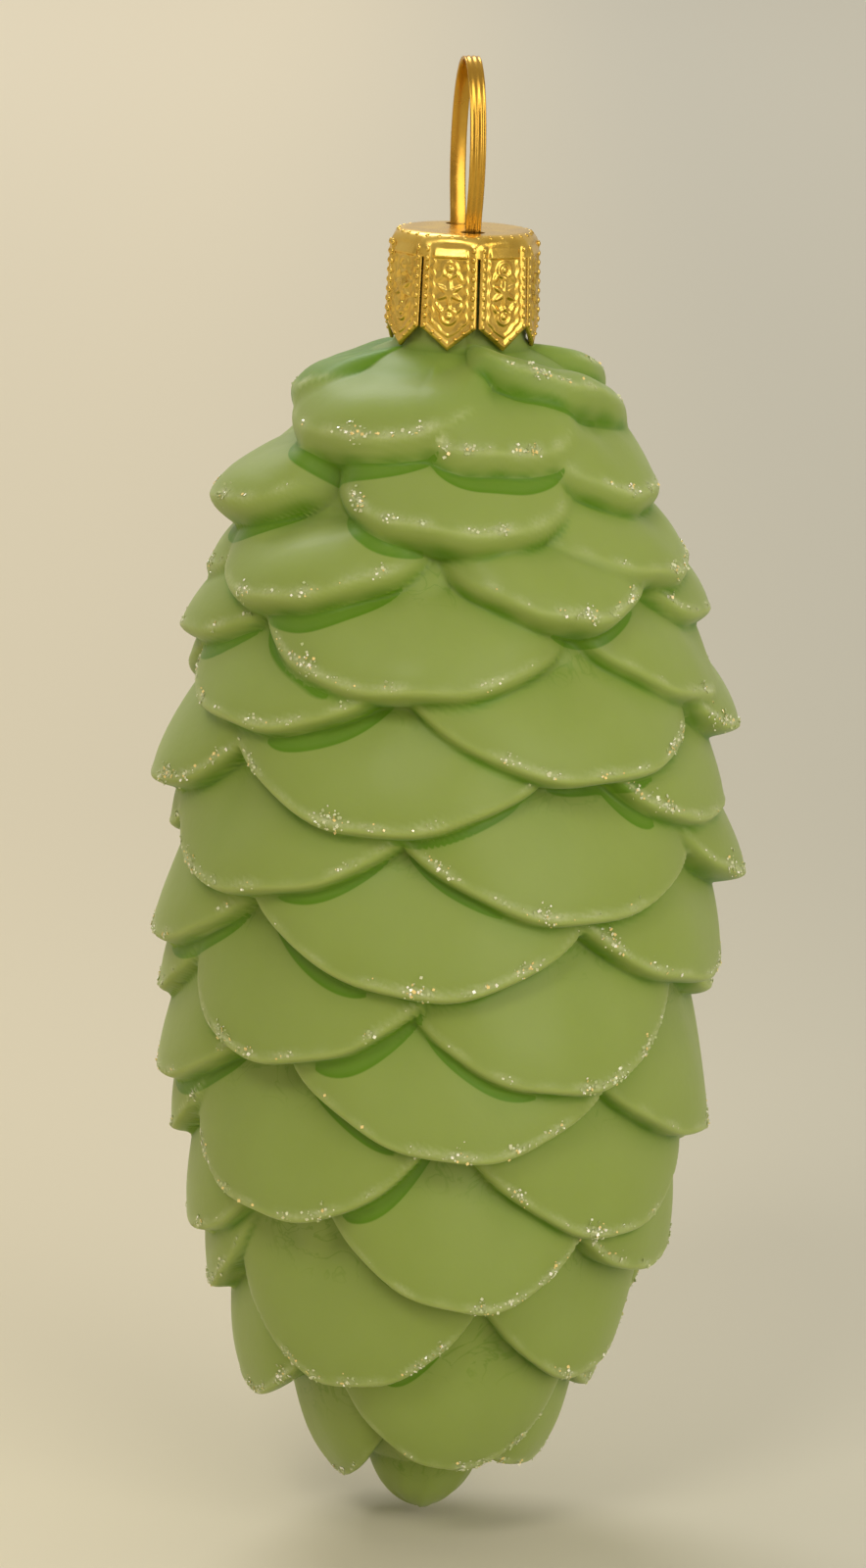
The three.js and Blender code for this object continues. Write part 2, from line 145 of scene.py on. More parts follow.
# Each row: lift above the core, length to the root, plumpness, rise of the lip's ends, scales
SCALE_ROWS = [
    (2.6, 7.5, 2.0, 3.0, [
        # This scale's face is painted green all over: painted shadow where it lies behind the next
        # scale and under the cap
        scale(-98, -1, half=34, lift=2.3, cover=0.6),
        scale(-38, 0.5, half=44, lean=-0.4, rise=2.4, power=3, fade=0.35, wobble=0.06,
              pool=(-0.8, 0.75, 1.3), over=0.5),
        scale(16, 1.0, half=27, rise=1.6, power=3, fade=0.35, wobble=0.06,
              pool=(-0.9, 0.75, 1.3), over=0.5),
        scale(52, -2.2, half=40, lean=2.8, rise=1.0, fade=0.35, pool=(-1, 0.3, 0.5))]),
    (3.6, 8.0, 2.0, 3.5, [
        scale(-86, 1, half=34, lift=4.9, pool=(-0.2, 1, 1.3)),
        scale(0, 0.4, lean=0.3, pool=(-1, -0.2, 1.0)),
        scale(64, -1.8, half=34, lean=0.8, lift=3.3)]),
    (3.8, 8.0, 2.0, 3.5, [
        scale(-96, 0.2, half=26, lift=3.1),
        scale(-46, 0.2, half=33, lean=-0.6, lift=4, pool=(-0.1, 1, 1.3)),
        scale(30, 0.4, half=28, lean=0.5, pool=(-0.2, 0.8, 0.8)),
        scale(62, -2, half=34, lean=0.6, lift=3.4)]),
    (3.7, 9.0, 1.8, 4.0, [
        scale(-88, -1.2, pool=(0, 1, 1)), scale(-14, 0, lean=0.8, pool=(-1, -0.3, 0.9)),
        scale(92, -3.8, half=34, lift=3.2)]),
    (3.7, 9.5, 1.7, 4.5, [
        scale(-46, -2.5, lean=-0.8, pool=(0.1, 1, 1.3)),
        scale(30, 0.2, half=38, lean=1.2, pool=(-0.2, 0.5, 0.8)),
        scale(70, -4.6, half=33, lean=1, lift=3.1), scale(98, -0.4, half=33, lift=4.6)]),
    (3.7, 10.5, 1.6, 5.0, [
        scale(-88, -1.6, lift=4.1), scale(-16, -1.9, half=38, lean=0.6, pool=(0.1, 0.9, 0.7)),
        scale(68, -1.2, half=34, lean=1, lift=3.4, pool=(-1, -0.5, 1.2))]),
    (3.6, 11.0, 1.5, 5.0, [
        scale(-98, -3.2, half=30, lift=2.7), scale(-44, -2, lean=-1, pool=(0.2, 0.9, 0.8)),
        scale(29, -1.3, half=38, lean=0.8, pool=(-1, -0.4, 0.7)),
        scale(94, -1.4, half=34, lift=4.6)]),
    (3.6, 11.5, 1.5, 5.5, [
        scale(-84, -1.6, lift=3.7, pool=(0.1, 1, 1)),
        scale(-6, -1.8, half=39, lean=0.8, pool=(-1, -0.2, 1.1)),
        scale(66, -0.8, half=36, lean=1)]),
    (3.5, 11.5, 1.5, 5.5, [
        scale(-94, -2.8, half=30, lift=3.2),
        scale(-34, -1.4, half=33, lean=-1, pool=(0.2, 1, 1.4)),
        scale(29, 0, half=32, lean=-0.3, pool=(-1, -0.2, 0.8)),
        scale(94, -4, half=30, lift=2.6)]),
    (3.6, 12.0, 1.4, 5.5, [
        scale(-84, -2.8, pool=(0, 1, 1)), scale(4, -1, lean=0.6, pool=(-1, -0.3, 0.8)),
        scale(78, 0, lift=3.9)]),
    (3.5, 12.0, 1.4, 6.0, [
        scale(-94, -3.4, half=30, lift=3.4),
        scale(-36, -0.8, half=36, lean=-0.8, pool=(0.4, 1.1, 1.4)),
        scale(47, 0.2, half=36), scale(96, -4, half=30, lift=2.4)]),
    (3.5, 12.0, 1.4, 6.0, [
        scale(-82, -2.6), scale(10, -0.4, half=33, pool=(-1, -0.5, 0.9)),
        scale(70, -1.4, half=36)]),
    (3.4, 12.0, 1.4, 6.0, [
        scale(-86, -3.6, half=30), scale(-26, 1.2, half=36, lean=0.8, pool=(0.3, 1, 1.3)),
        scale(54, 1, half=36, lift=3)]),
    (3.2, 12.0, 1.4, 6.0, [
        scale(-74, -2, half=40, lift=3.9), scale(14, 3, half=42),
        scale(80, -2.6, half=40, lift=2.4)]),
    (2.9, 10.0, 1.4, 5.0, [
        scale(-72, 0, half=50), scale(64, -2, half=50)]),
]


def trace_outline(samples):
    """Radius, depth and length along the line through the lips, from the neck to the tip."""
    neck_sweep = -math.acos((NECK_RADIUS / BODY_RADIUS) ** (UPPER_RADIUS_POWER / 2))
    sweep = np.linspace(neck_sweep, math.pi / 2, samples)
    across, along = np.abs(np.cos(sweep)), np.abs(np.sin(sweep))
    upper = sweep < 0
    upper_length = WIDEST_DEPTH - SHOULDER_DEPTH
    radius = BODY_RADIUS * np.where(upper, across ** (2 / UPPER_RADIUS_POWER), across)
    depth = WIDEST_DEPTH + np.where(
        upper,
        -upper_length * along ** (2 / UPPER_DEPTH_POWER),
        (GLASS_LENGTH - WIDEST_DEPTH) * along,
    )
    steps = np.hypot(np.diff(radius), np.diff(depth))
    return radius, depth, np.concatenate([[0.0], np.cumsum(steps)])


outline_radius, outline_depth, outline_length = trace_outline(OUTLINE_SAMPLES)
full_length = outline_length[-1]


def far_scale(row, step, turn, lift):
    """A scale of the far side, a little out of line as the near ones are."""
    sway = math.sin(2.4 * row + 4.1 * step)
    swing = math.sin(5.3 * row + 1.7 * step)
    return scale(turn + FAR_TURN_SWING * swing, FAR_DROP_SWAY * sway + FAR_DROP,
                 half=USUAL_HALF_TURN + FAR_HALF_SWING * swing, lean=FAR_LEAN * swing,
                 lift=lift * (1 + FAR_LIFT_SWAY * sway), pool=(0.1, 1, 0.9 * swing))


def place_scales():
    """Every scale of the cone, with the far side of each row filled evenly."""
    pitch = (GLASS_LENGTH - FIRST_ROW_DEPTH - LAST_ROW_RISE) / (len(SCALE_ROWS) - 1)
    placed = []
    for index, (lift, length, root, rise, near) in enumerate(SCALE_ROWS):
        thin = min(max((index - THICK_ROWS) / THINNING_ROWS, 0), 1)
        usual = {
            "half": USUAL_HALF_TURN, "lean": 0.0, "lift": lift, "rise": rise, "power": LIP_POWER,
            "fade": LIP_FADE, "wobble": LIP_WOBBLE, "root": root,
            "pool": (0, 0, 0), "over": POOL_OVER_LIP, "cover": 0,
            "under": PLUMP_LIP_DROP + (THIN_LIP_DROP - PLUMP_LIP_DROP) * thin,
            "glue": PLUMP_GLUE_WIDTH + (THIN_GLUE_WIDTH - PLUMP_GLUE_WIDTH) * thin,
            "ease": FIRST_ROW_EASE if index == 0 else FACE_EASE,
        }
        open_turn = near[0]["turn"] + 360 - near[-1]["turn"]
        steps = round(open_turn / (2 * USUAL_HALF_TURN * FAR_OVERLAP))
        far = [far_scale(index, i, near[-1]["turn"] + open_turn * i / steps, lift)
               for i in range(1, steps)]
        for one in near + far:
            row_depth = FIRST_ROW_DEPTH + index * pitch
            lip = np.interp(row_depth + one["drop"], outline_depth, outline_length)
            placed.append({
                **usual, **one, "lip": lip, "length": min(length, lip - SMOOTH_SHOULDER),
                "phase": 1.7 * lip + 0.31 * one["turn"],
            })
    return placed


scales = place_scales()


def lip_line(one, across):
    """Length along the cone of a scale's lip, at a share of its half turn."""
    wobble = np.sin(4.7 * across + one["phase"]) + 0.6 * np.sin(10.3 * across - one["phase"])
    droop = one["lean"] * across - one["rise"] * np.abs(across) ** one["power"]
    return one["lip"] + droop + one["wobble"] * wobble


def turn_offset(turn, middle):
    return (turn - middle + 180) % 360 - 180


def scale_relief(one, turn, length):
    """A scale's height above the core, the distance up from its lip, and share of its half."""
    across = turn_offset(turn, one["turn"]) / one["half"]
    above = lip_line(one, across) - length
    under_lip = np.clip(1 - (above / one["under"]) ** 2, 0, None) ** LIP_ROUND_POWER
    face = (1 - np.clip(above / one["length"], 0, 1) ** one["root"]) ** one["ease"]
    past = np.clip((np.abs(across) - SIDE_ROUND_START) / SIDE_ROUND, 0, 1)
    sides = (1 - one["fade"] * across ** 2) * np.sqrt(1 - past ** 2)
    height = one["lift"] * np.where(above < 0, under_lip, face) * sides
    outside = (np.abs(across) > SCALE_EDGE) | (above < -one["under"]) | (above > one["length"])
    return np.where(outside, 0, height), above, across


def close_to(one, turn, length):
    """Which points are near enough to a scale for it to matter."""
    half_length = one["length"] / 2
    near_turn = np.abs(turn_offset(turn, one["turn"])) < NEAR_HALVES * one["half"]
    return near_turn & (np.abs(length - one["lip"] + half_length) < half_length + NEAR_MARGIN)


def glitter_share(one, across):
    """How thickly a lip is dusted with glitter, along its half turn from -1 to 1."""
    phase = one["phase"]
    wave = np.sin(5 * across + phase) + np.sin(11 * across + 2 * phase) + np.sin(23 * across)
    thick_end = math.copysign(1, math.sin(3 * phase))
    ends = np.clip((1.0 - np.abs(across)) * 6, 0, 1)
    share = GLITTER_MEAN + GLITTER_WAVE * wave + GLITTER_END * thick_end * across
    return np.clip(share, 0, 1) * ends


def cone_relief(turn, length):
    """Height of the whole surface above the core, and the bead and glue line of its lips."""
    from_tip = (full_length - length) / TIP_BUD_LENGTH
    top = CORE_INSET * np.clip(1 - np.abs(from_tip) ** TIP_BUD_POWER, 0, None)
    union = np.interp(length, SHOULDER_BLEND, (SHOULDER_UNION, SOFT_UNION))
    total = top ** union
    bead, glue = np.zeros_like(top), np.zeros_like(top)
    for one in scales:
        close = close_to(one, turn, length)
        height, above, across = scale_relief(one, turn[close], length[close])
        ends = np.clip(1.25 - np.abs(across), 0, 1)
        own_bead = np.exp(-((above - LIP_BEAD_RISE) / LIP_BEAD_WIDTH) ** 2) * ends
        line = np.exp(-((above - GLUE_RISE) / one["glue"]) ** 2)
        own_glue = line * glitter_share(one, across)
        wins = height > top[close]
        bead[close] = np.where(wins, own_bead, bead[close])
        glue[close] = np.where(wins, own_glue, glue[close])
        top[close] = np.maximum(top[close], height)
        total[close] += height ** union[close]
    return total ** (1 / union), bead, glue


def lacquer_pools(turn, length, height):
    """Where the green is painted deeper, partly painted shade and partly thick lacquer: a soft line
    at the foot of every lip, with painted shadow over a scale's face, and how far inside the edge
    of a lens-shaped pool each point is, in millimetres."""
    soft = np.zeros_like(height)
    pools = np.full_like(height, NO_POOL)
    for one in scales:
        close = close_to(one, turn, length)
        own, above, across = scale_relief(one, turn[close], length[close])
        phase = one["phase"]
        from_foot = -above - FOOT_SHARE * one["under"]
        wave = np.sin(6 * across + 2 * phase) * np.sin(13 * across + phase)
        line = np.exp(-(from_foot / FOOT_LINE_WIDTH) ** 2)
        line *= FOOT_LINE_MEAN + FOOT_LINE_WAVE * wave
        start, end, strength = one["pool"]
        spot = (2 * across - start - end) / max(end - start, 0.1)
        half = POOL_HALF_WIDTH * strength * np.sqrt(np.clip(1 - spot ** 2, 0, 1))
        lens = np.where(half > 0.1, half - np.abs(from_foot - half), NO_POOL)
        lip_height = one["lift"] * (1 - one["fade"] * across ** 2)
        under_lip = lip_height - height[close]
        pools[close] = np.maximum(pools[close], np.minimum(lens, under_lip + one["over"]))
        below = np.clip(under_lip / 0.5, 0, 1) * (above < 0.1)
        ends = np.clip((1.2 - np.abs(across)) * 5, 0, 1)
        # Painted shadow over a scale's own face, where that face shows
        shown = np.clip(1.5 - (height[close] - own) / 0.3, 0, 1) * (own > 0)
        amount = np.maximum(line * below * ends, one["cover"] * shown)
        soft[close] = np.maximum(soft[close], amount)
    return soft, pools


def cone_section(length):
    """Radius, depth and outward direction on the outline, and its inset to the core."""
    step = 0.02
    radius = np.interp(length, outline_length, outline_radius)
    depth = np.interp(length, outline_length, outline_depth)
    run = [np.interp(length + step, outline_length, line)
           - np.interp(length - step, outline_length, line)
           for line in (outline_radius, outline_depth)]
    size = np.hypot(*run)
    share = np.clip((depth - INSET_START) / (INSET_FULL - INSET_START), 0, 1)
    inset = CORE_INSET * share ** 2 * (3 - 2 * share)
    return radius, depth, run[1] / size, -run[0] / size, inset


def cone_surface(turn, length, raise_by=0.0):
    """Points of the outside in millimetres, and the height, bead and glue line at each."""
    height, bead, glue = cone_relief(turn, length)
    radius, depth, out_radius, out_depth, inset = cone_section(length)
    angle = np.radians(turn + CONE_TURN)
    ripple = (np.sin(length / 2.6 + 2.5 * np.sin(2 * angle + 1)) * np.sin(7 * angle + length / 6)
              + np.sin(length / 4.1 - 3 * angle))
    relief = height + LIP_BEAD * bead + FACE_RIPPLE * ripple * (inset / CORE_INSET)
    offset = relief - inset + raise_by
    ring = radius + offset * out_radius
    z = CAP_TOP_Z - (depth + offset * out_depth)
    return np.stack([ring * np.sin(angle), -ring * np.cos(angle), z], -1), height, bead, glue


def crowd_rings(turns):
    """Lengths of every ring at each turn, closer together on the lips and where it is steep."""
    fine = np.linspace(0, full_length, RING_SAMPLES)
    turn, length = np.meshgrid(turns, fine)
    height, bead, _ = cone_relief(turn, length)
    flat = np.diff(fine)[:, None]
    climb = np.hypot(flat, STEEP_CROWDING * np.diff(height, axis=0))
    steps = flat * (FLAT_CROWDING + LIP_CROWDING * bead[1:]) + climb
    travel = np.concatenate([np.zeros((1, len(turns))), np.cumsum(steps, axis=0)])
    travel = blur(travel / travel[-1], 2, axes=((1, "wrap"),))
    shares = np.arange(1, OUTSIDE_RINGS) / OUTSIDE_RINGS
    return np.stack([np.interp(shares, line, fine) for line in travel.T], -1)


def round_ring(radius, depth):
    angle = np.radians(np.arange(GLASS_SIDES) * 360 / GLASS_SIDES + CONE_TURN)
    z = np.full(GLASS_SIDES, CAP_TOP_Z - depth)
    return np.stack([radius * np.sin(angle), -radius * np.cos(angle), z], -1)


def blur(values, reach, axes=((1, "wrap"), (0, "edge"))):
    """Mean over a square of neighbours, closed round the cone and held at its ends."""
    for axis, mode in axes:
        pad = [(0, 0), (0, 0)]
        pad[axis] = (reach, reach)
        padded = np.pad(values, pad, mode=mode)
        values = sum(np.take(padded, range(i, i + values.shape[axis]), axis=axis)
                     for i in range(2 * reach + 1)) / (2 * reach + 1)
    return values


def closed_skin(first, rings, last):
    """Points and faces from one point through rings of points to another point."""
    sides = rings.shape[1]
    points = np.concatenate([[first], rings.reshape(-1, 3), [last]])
    end = len(points) - 1
    faces = []
    for side in range(sides):
        beside = (side + 1) % sides
        faces.append((0, 1 + side, 1 + beside))
        for before in range(1, end - sides, sides):
            after = before + sides
            faces.append((before + side, after + side, after + beside, before + beside))
        faces.append((end - sides + side, end, end - sides + beside))
    return points, faces


def make_object(name, points_mm, faces, edges=()):
    """An object at the origin from points in millimetres."""
    mesh = bpy.data.meshes.new(name)
    mesh.from_pydata((np.asarray(points_mm) / 1000).tolist(), list(edges), faces)
    mesh.validate()
    mesh.polygons.foreach_set("use_smooth", [True] * len(mesh.polygons))
    made = bpy.data.objects.new(name, mesh)
    bpy.context.collection.objects.link(made)
    return made


def add_attribute(mesh, name, values, kind="FLOAT"):
    attribute = mesh.attributes.new(name, kind, "POINT")
    field = "vector" if kind == "FLOAT_VECTOR" else "value"
    attribute.data.foreach_set(field, np.asarray(values, dtype=float).ravel())


def colour(hex_value):
    """Linear colour from an sRGB hex value."""
    channels = [int(hex_value[i:i + 2], 16) / 255 for i in (1, 3, 5)]
    return [c / 12.92 if c <= 0.04045 else ((c + 0.055) / 1.055) ** 2.4 for c in channels] + [1]


def add_node(tree, kind, sockets=None, **settings):
    """Adds a node, and sets its options, its values and what is linked to it."""
    node = tree.nodes.new(kind)
    for name, value in settings.items():
        setattr(node, name, value)
    for name, value in (sockets or {}).items():
        socket = node.inputs[name]
        if isinstance(value, bpy.types.NodeSocket):
            tree.links.new(value, socket)
        else:
            socket.default_value = value
    return node


def new_material(name, shader_sockets):
    """A material with a Principled shader, which is returned with its tree."""
    material = bpy.data.materials.new(name)
    material.use_nodes = True
    tree = material.node_tree
    tree.nodes.clear()
    shader = add_node(tree, "ShaderNodeBsdfPrincipled", shader_sockets)
    add_node(tree, "ShaderNodeOutputMaterial", {"Surface": shader.outputs["BSDF"]})
    return material, tree, shader


def make_glass_material():
    # Milky green satin lacquer on blown glass: a soft even glow, painted deeper and greener in the
    # grooves and under the scales, partly painted shade and partly pooled lacquer, painted paler on
    # the lips, partly a painted highlight and partly thinner lacquer, with a soft gloss over it.
    material, tree, shader = new_material("satin lacquer on blown glass", {
        "Roughness": 0.5,
        "IOR": 1.42,
        "Specular IOR Level": 0.3,
        "Subsurface Weight": 0.7,
        "Subsurface Radius": (0.9, 1.0, 0.4),
        "Subsurface Scale": 0.0013,
        "Coat Weight": 0.05,
        "Coat Roughness": 0.2,
        "Sheen Weight": 0.1,
        "Sheen Roughness": 0.4,
    })
    place = add_node(tree, "ShaderNodeTexCoord").outputs["Object"]
    # Painted shade and pooled lacquer, and a painted highlight on the lip ridges, come in as
    # attributes
    shade_and_pool = add_node(tree, "ShaderNodeAttribute", attribute_name="shade_and_pool").outputs["Fac"]
    rim = add_node(tree, "ShaderNodeAttribute", attribute_name="rim").outputs["Fac"]
    # The coat drifts in tone over about 9 mm
    clouds = add_node(tree, "ShaderNodeTexNoise", {"Vector": place, "Scale": 110.0, "Detail": 3.0})
    drift = add_node(tree, "ShaderNodeMix", {
        "Factor": clouds.outputs["Fac"], "A": colour("#8a9a45"), "B": colour("#93a356"),
    }, data_type="RGBA")
    # A pool of painted shade and pooled lacquer has a crisp edge, is deepest just inside it and a
    # little thinner in its middle
    pool = add_node(tree, "ShaderNodeAttribute", attribute_name="pool").outputs["Fac"]
    pool_edge = add_node(tree, "ShaderNodeMapRange", {
        "Value": pool, "From Min": -0.06, "From Max": 0.08,
    })
    pool_depth = add_node(tree, "ShaderNodeMapRange", {
        "Value": pool, "From Min": 0.12, "From Max": 0.5, "To Min": 1.0, "To Max": 0.84,
    })
    pool_amount = add_node(tree, "ShaderNodeMath", {
        0: pool_edge.outputs["Result"], 1: pool_depth.outputs["Result"],
    }, operation="MULTIPLY")
    # Painted shade and pooled lacquer: how far the colour goes toward the darker green
    shade_and_pool_amount = add_node(tree, "ShaderNodeMath", {
        0: shade_and_pool, 1: pool_amount.outputs["Value"],
    }, operation="MAXIMUM")
    pooled = add_node(tree, "ShaderNodeMix", {
        "Factor": shade_and_pool_amount.outputs["Value"], "A": drift.outputs["Result"], "B": colour(SHADE_AND_POOL_GREEN),
    }, data_type="RGBA")
    # Painted highlight: paler on the lip ridges, partly thinner lacquer there
    thin = add_node(tree, "ShaderNodeMix", {
        "Factor": rim, "A": pooled.outputs["Result"], "B": colour("#a5b06a"),
    }, data_type="RGBA")
    # Where scales meet deep down, the lacquer dried in fine dark wrinkles 0.2 mm wide
    sunk = add_node(tree, "ShaderNodeAttribute", attribute_name="sunk").outputs["Fac"]
    folds = add_node(tree, "ShaderNodeTexNoise", {
        "Vector": place, "Scale": 300.0, "Detail": 3.0, "Distortion": 1.5,
    })
    from_fold = add_node(tree, "ShaderNodeMath", {
        0: folds.outputs["Fac"], 1: 0.5,
    }, operation="SUBTRACT")
    fold_gap = add_node(tree, "ShaderNodeMath", {0: from_fold.outputs["Value"]},
                        operation="ABSOLUTE")
    fold = add_node(tree, "ShaderNodeMapRange", {
        "Value": fold_gap.outputs["Value"], "From Min": 0.0, "From Max": 0.03,
        "To Min": 0.4, "To Max": 0.0,
    })
    wrinkle = add_node(tree, "ShaderNodeMath", {
        0: sunk, 1: fold.outputs["Result"],
    }, operation="MULTIPLY")
    wrinkled = add_node(tree, "ShaderNodeMix", {
        "Factor": wrinkle.outputs["Value"], "A": thin.outputs["Result"], "B": colour(SHADE_AND_POOL_GREEN),
    }, data_type="RGBA")
    # The glue line holds glass dust, drawn in grains of 0.3 mm, coarse enough to show
    frost = add_node(tree, "ShaderNodeAttribute", attribute_name="frost").outputs["Fac"]
    dust = add_node(tree, "ShaderNodeTexNoise", {"Vector": place, "Scale": 3500.0, "Detail": 2.0})
    dusting = add_node(tree, "ShaderNodeMapRange", {
        "Value": dust.outputs["Fac"], "From Min": 0.38, "From Max": 0.62, "To Min": 0.5,
    })
    dusted = add_node(tree, "ShaderNodeMath", {
        0: frost, 1: dusting.outputs["Result"],
    }, operation="MULTIPLY")
    frosted = add_node(tree, "ShaderNodeMix", {
        "Factor": dusted.outputs["Value"], "A": wrinkled.outputs["Result"], "B": colour("#c3c998"),
    }, data_type="RGBA")
    tree.links.new(frosted.outputs["Result"], shader.inputs["Base Color"])
    # Satin grain of the sprayed coat, drawn at 1.1 mm, coarse enough to show
    grain = add_node(tree, "ShaderNodeTexNoise", {"Vector": place, "Scale": 900.0, "Detail": 2.0})
    bump = add_node(tree, "ShaderNodeBump", {
        "Strength": 0.12, "Distance": 0.0002, "Height": grain.outputs["Fac"],
    })
    tree.links.new(bump.outputs["Normal"], shader.inputs["Normal"])
    return material


def make_glass():
    turns = np.arange(GLASS_SIDES) * 360 / GLASS_SIDES
    length = crowd_rings(turns)
    turn = np.broadcast_to(turns, length.shape).copy()
    outside, height, bead, glue = cone_surface(turn, length)
    bore_radius = NECK_RADIUS - GLASS_WALL
    inside = []
    for i in range(INSIDE_RINGS - 1, 0, -1):
        radius, depth, out_radius, out_depth, inset = cone_section(full_length * i / INSIDE_RINGS)
        inset = inset + GLASS_WALL
        inside.append(round_ring(radius - inset * out_radius, depth - inset * out_depth))
    neck = [round_ring(bore_radius, SHOULDER_DEPTH + 2 * GLASS_WALL),
            round_ring(bore_radius, NECK_RIM_DEPTH),
            round_ring(NECK_RADIUS, NECK_RIM_DEPTH),
            round_ring(NECK_RADIUS, SHOULDER_DEPTH)]
    rings = np.concatenate([np.array(inside + neck), outside])
    inner_tip = (0, 0, CAP_TOP_Z - GLASS_LENGTH + CORE_INSET + GLASS_WALL)
    points, faces = closed_skin(inner_tip, rings, (0, 0, CAP_TOP_Z - GLASS_LENGTH))
    glass = make_object("glass_cone_blown", points, faces)
    # Painted shade, partly pooled lacquer: greener where the surface lies below the mean height
    # around it
    recess_shade_and_pool = np.clip((blur(height, RECESS_REACH) - height) / RECESS_DEPTH, 0, RECESS_SHADE_MOST)
    sunk = np.clip((WRINKLE_HEIGHT - height) / WRINKLE_FADE, 0, 1) * (length > SHOULDER_BLEND[1])
    # Painted shade: greener on the shoulder just under the cap, partly thick lacquer there
    under_cap_shade_and_pool = UNDER_CAP_SHADE_AND_POOL * np.clip(1 - length / SHOULDER_BLEND[0], 0, 1)
    soft, pools = lacquer_pools(turn, length, height)
    # All painted shade and pooled lacquer together, cleared on the lip beads
    shade_and_pool = np.clip(recess_shade_and_pool + soft * (1 - LIP_CLEARS * bead) + under_cap_shade_and_pool, 0, 1)
    before = np.zeros(len(points) - 1 - outside.shape[0] * GLASS_SIDES)
    add_attribute(glass.data, "shade_and_pool", np.concatenate([before, shade_and_pool.ravel(), [0]]))
    add_attribute(glass.data, "pool", np.concatenate([before + NO_POOL, pools.ravel(), [NO_POOL]]))
    add_attribute(glass.data, "sunk", np.concatenate([before, sunk.ravel(), [0]]))
    # Painted highlight on the lip beads
    add_attribute(glass.data, "rim", np.concatenate([before, bead.ravel() * LIP_HIGHLIGHT_AND_THIN_COAT, [0]]))
    add_attribute(glass.data, "frost", np.concatenate([before, glue.ravel(), [0]]))
    glass.data.materials.append(make_glass_material())
    return glass


glass_cone = make_glass()
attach(glass_cone, "glass body")
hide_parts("glass_cone")

# Glitter
# Fine clear and pale gold glass flakes, dusted by hand on a thin line of glue along the lips
# of the scales. It lies in broken lines about a millimetre wide, thicker at one end of a lip.

FLAKE_RADIUS = 0.12
FLAKE_THICKNESS = 0.03
FLAKE_LIFT = 0.05
FLAKES_PER_LIP = 520
FLAKE_SEED = 7
FLAKE_KEEP_POWER = 3
FLAKE_SPREAD = 0.09
FLAKE_MORE_SPREAD = 0.36
FLAKE_SUNK = 0.12
FLAKE_LEAST_HEIGHT = 0.6
FLAKE_SMALLEST = 0.55
FLAKE_SIZE_RANGE = 0.95
FLAKE_TILT = 0.7


def scatter_glitter():
    """Places, outward directions, sizes and tints of the flakes along every lip."""
    rng = np.random.default_rng(FLAKE_SEED)
    places, outward, sizes, tints = [], [], [], []
    for one in scales:
        across = rng.uniform(-1, 1, FLAKES_PER_LIP)
        share = glitter_share(one, across)
        kept = rng.random(FLAKES_PER_LIP) < share ** FLAKE_KEEP_POWER
        spread = FLAKE_SPREAD + FLAKE_MORE_SPREAD * share ** 2
        shift = rng.normal(0, spread, FLAKES_PER_LIP)
        turn = one["turn"] + across * one["half"]
        length = lip_line(one, across) - GLUE_RISE - shift
        own, _, _ = scale_relief(one, turn, length)
        top, _, _ = cone_relief(turn, length)
        kept &= (own > top - FLAKE_SUNK) & (own > FLAKE_LEAST_HEIGHT)
        turn, length = turn[kept], length[kept]
        base, _, _, _ = cone_surface(turn, length)
        lifted, _, _, _ = cone_surface(turn, length, FLAKE_LIFT)
        places.append(lifted)
        outward.append((lifted - base) / FLAKE_LIFT)
        sizes.append(FLAKE_SMALLEST + FLAKE_SIZE_RANGE * rng.random(len(turn)) ** 2)
        tints.append(rng.random(len(turn)))
    return [np.concatenate(part) for part in (places, outward, sizes, tints)]


def make_flake_material():
    # Clear and pale gold glass glitter: each flake is a flat mirror-smooth chip that is
    # nearly colourless until it catches a lamp. The near-white flakes carry a painted glint in
    # their colour.
    material, tree, shader = new_material("clear and gold glass glitter", {
        "Roughness": 0.12,
        "IOR": 1.5,
        "Specular IOR Level": 0.9,
    })
    tint_and_glint = add_node(tree, "ShaderNodeAttribute", attribute_name="tint_and_glint").outputs["Fac"]
    shades = add_node(tree, "ShaderNodeValToRGB", {"Fac": tint_and_glint})
    ramp = shades.color_ramp
    ramp.interpolation = "CONSTANT"
    ramp.elements[0].color = colour("#b4be82")
    ramp.elements[1].position = 0.4
    ramp.elements[1].color = colour("#d6d8ac")
    # The last, near-white shade is a painted glint
    for position, shade in ((0.76, "#f3d789"), (0.9, "#fffbe8")):
        ramp.elements.new(position).color = colour(shade)
    tree.links.new(shades.outputs["Color"], shader.inputs["Base Color"])
    return material


def new_shape_tree(name, sizes):
    """A geometry tree with a mesh input and named sizes, and its start and end nodes."""
    tree = bpy.data.node_groups.new(name, "GeometryNodeTree")
    tree.interface.new_socket("Geometry", in_out="INPUT", socket_type="NodeSocketGeometry")
    for size_name, kind in sizes.items():
        tree.interface.new_socket(size_name, in_out="INPUT", socket_type=kind)
    tree.interface.new_socket("Geometry", in_out="OUTPUT", socket_type="NodeSocketGeometry")
    return tree, tree.nodes.new("NodeGroupInput"), tree.nodes.new("NodeGroupOutput")


def bake_shape(carrier, tree, values, name):
    """Runs a geometry tree on the carrier and keeps the result as one plain mesh object."""
    modifier = carrier.modifiers.new("shape", "NODES")
    modifier.node_group = tree
    for item in tree.interface.items_tree:
        if item.in_out == "INPUT" and item.name in values:
            modifier[item.identifier] = values[item.name]
    evaluated = carrier.evaluated_get(bpy.context.evaluated_depsgraph_get())
    mesh = bpy.data.meshes.new_from_object(evaluated)
    mesh.name = name
    carrier.modifiers.clear()
    bpy.data.objects.remove(carrier)
    made = bpy.data.objects.new(name, mesh)
    bpy.context.collection.objects.link(made)
    return made


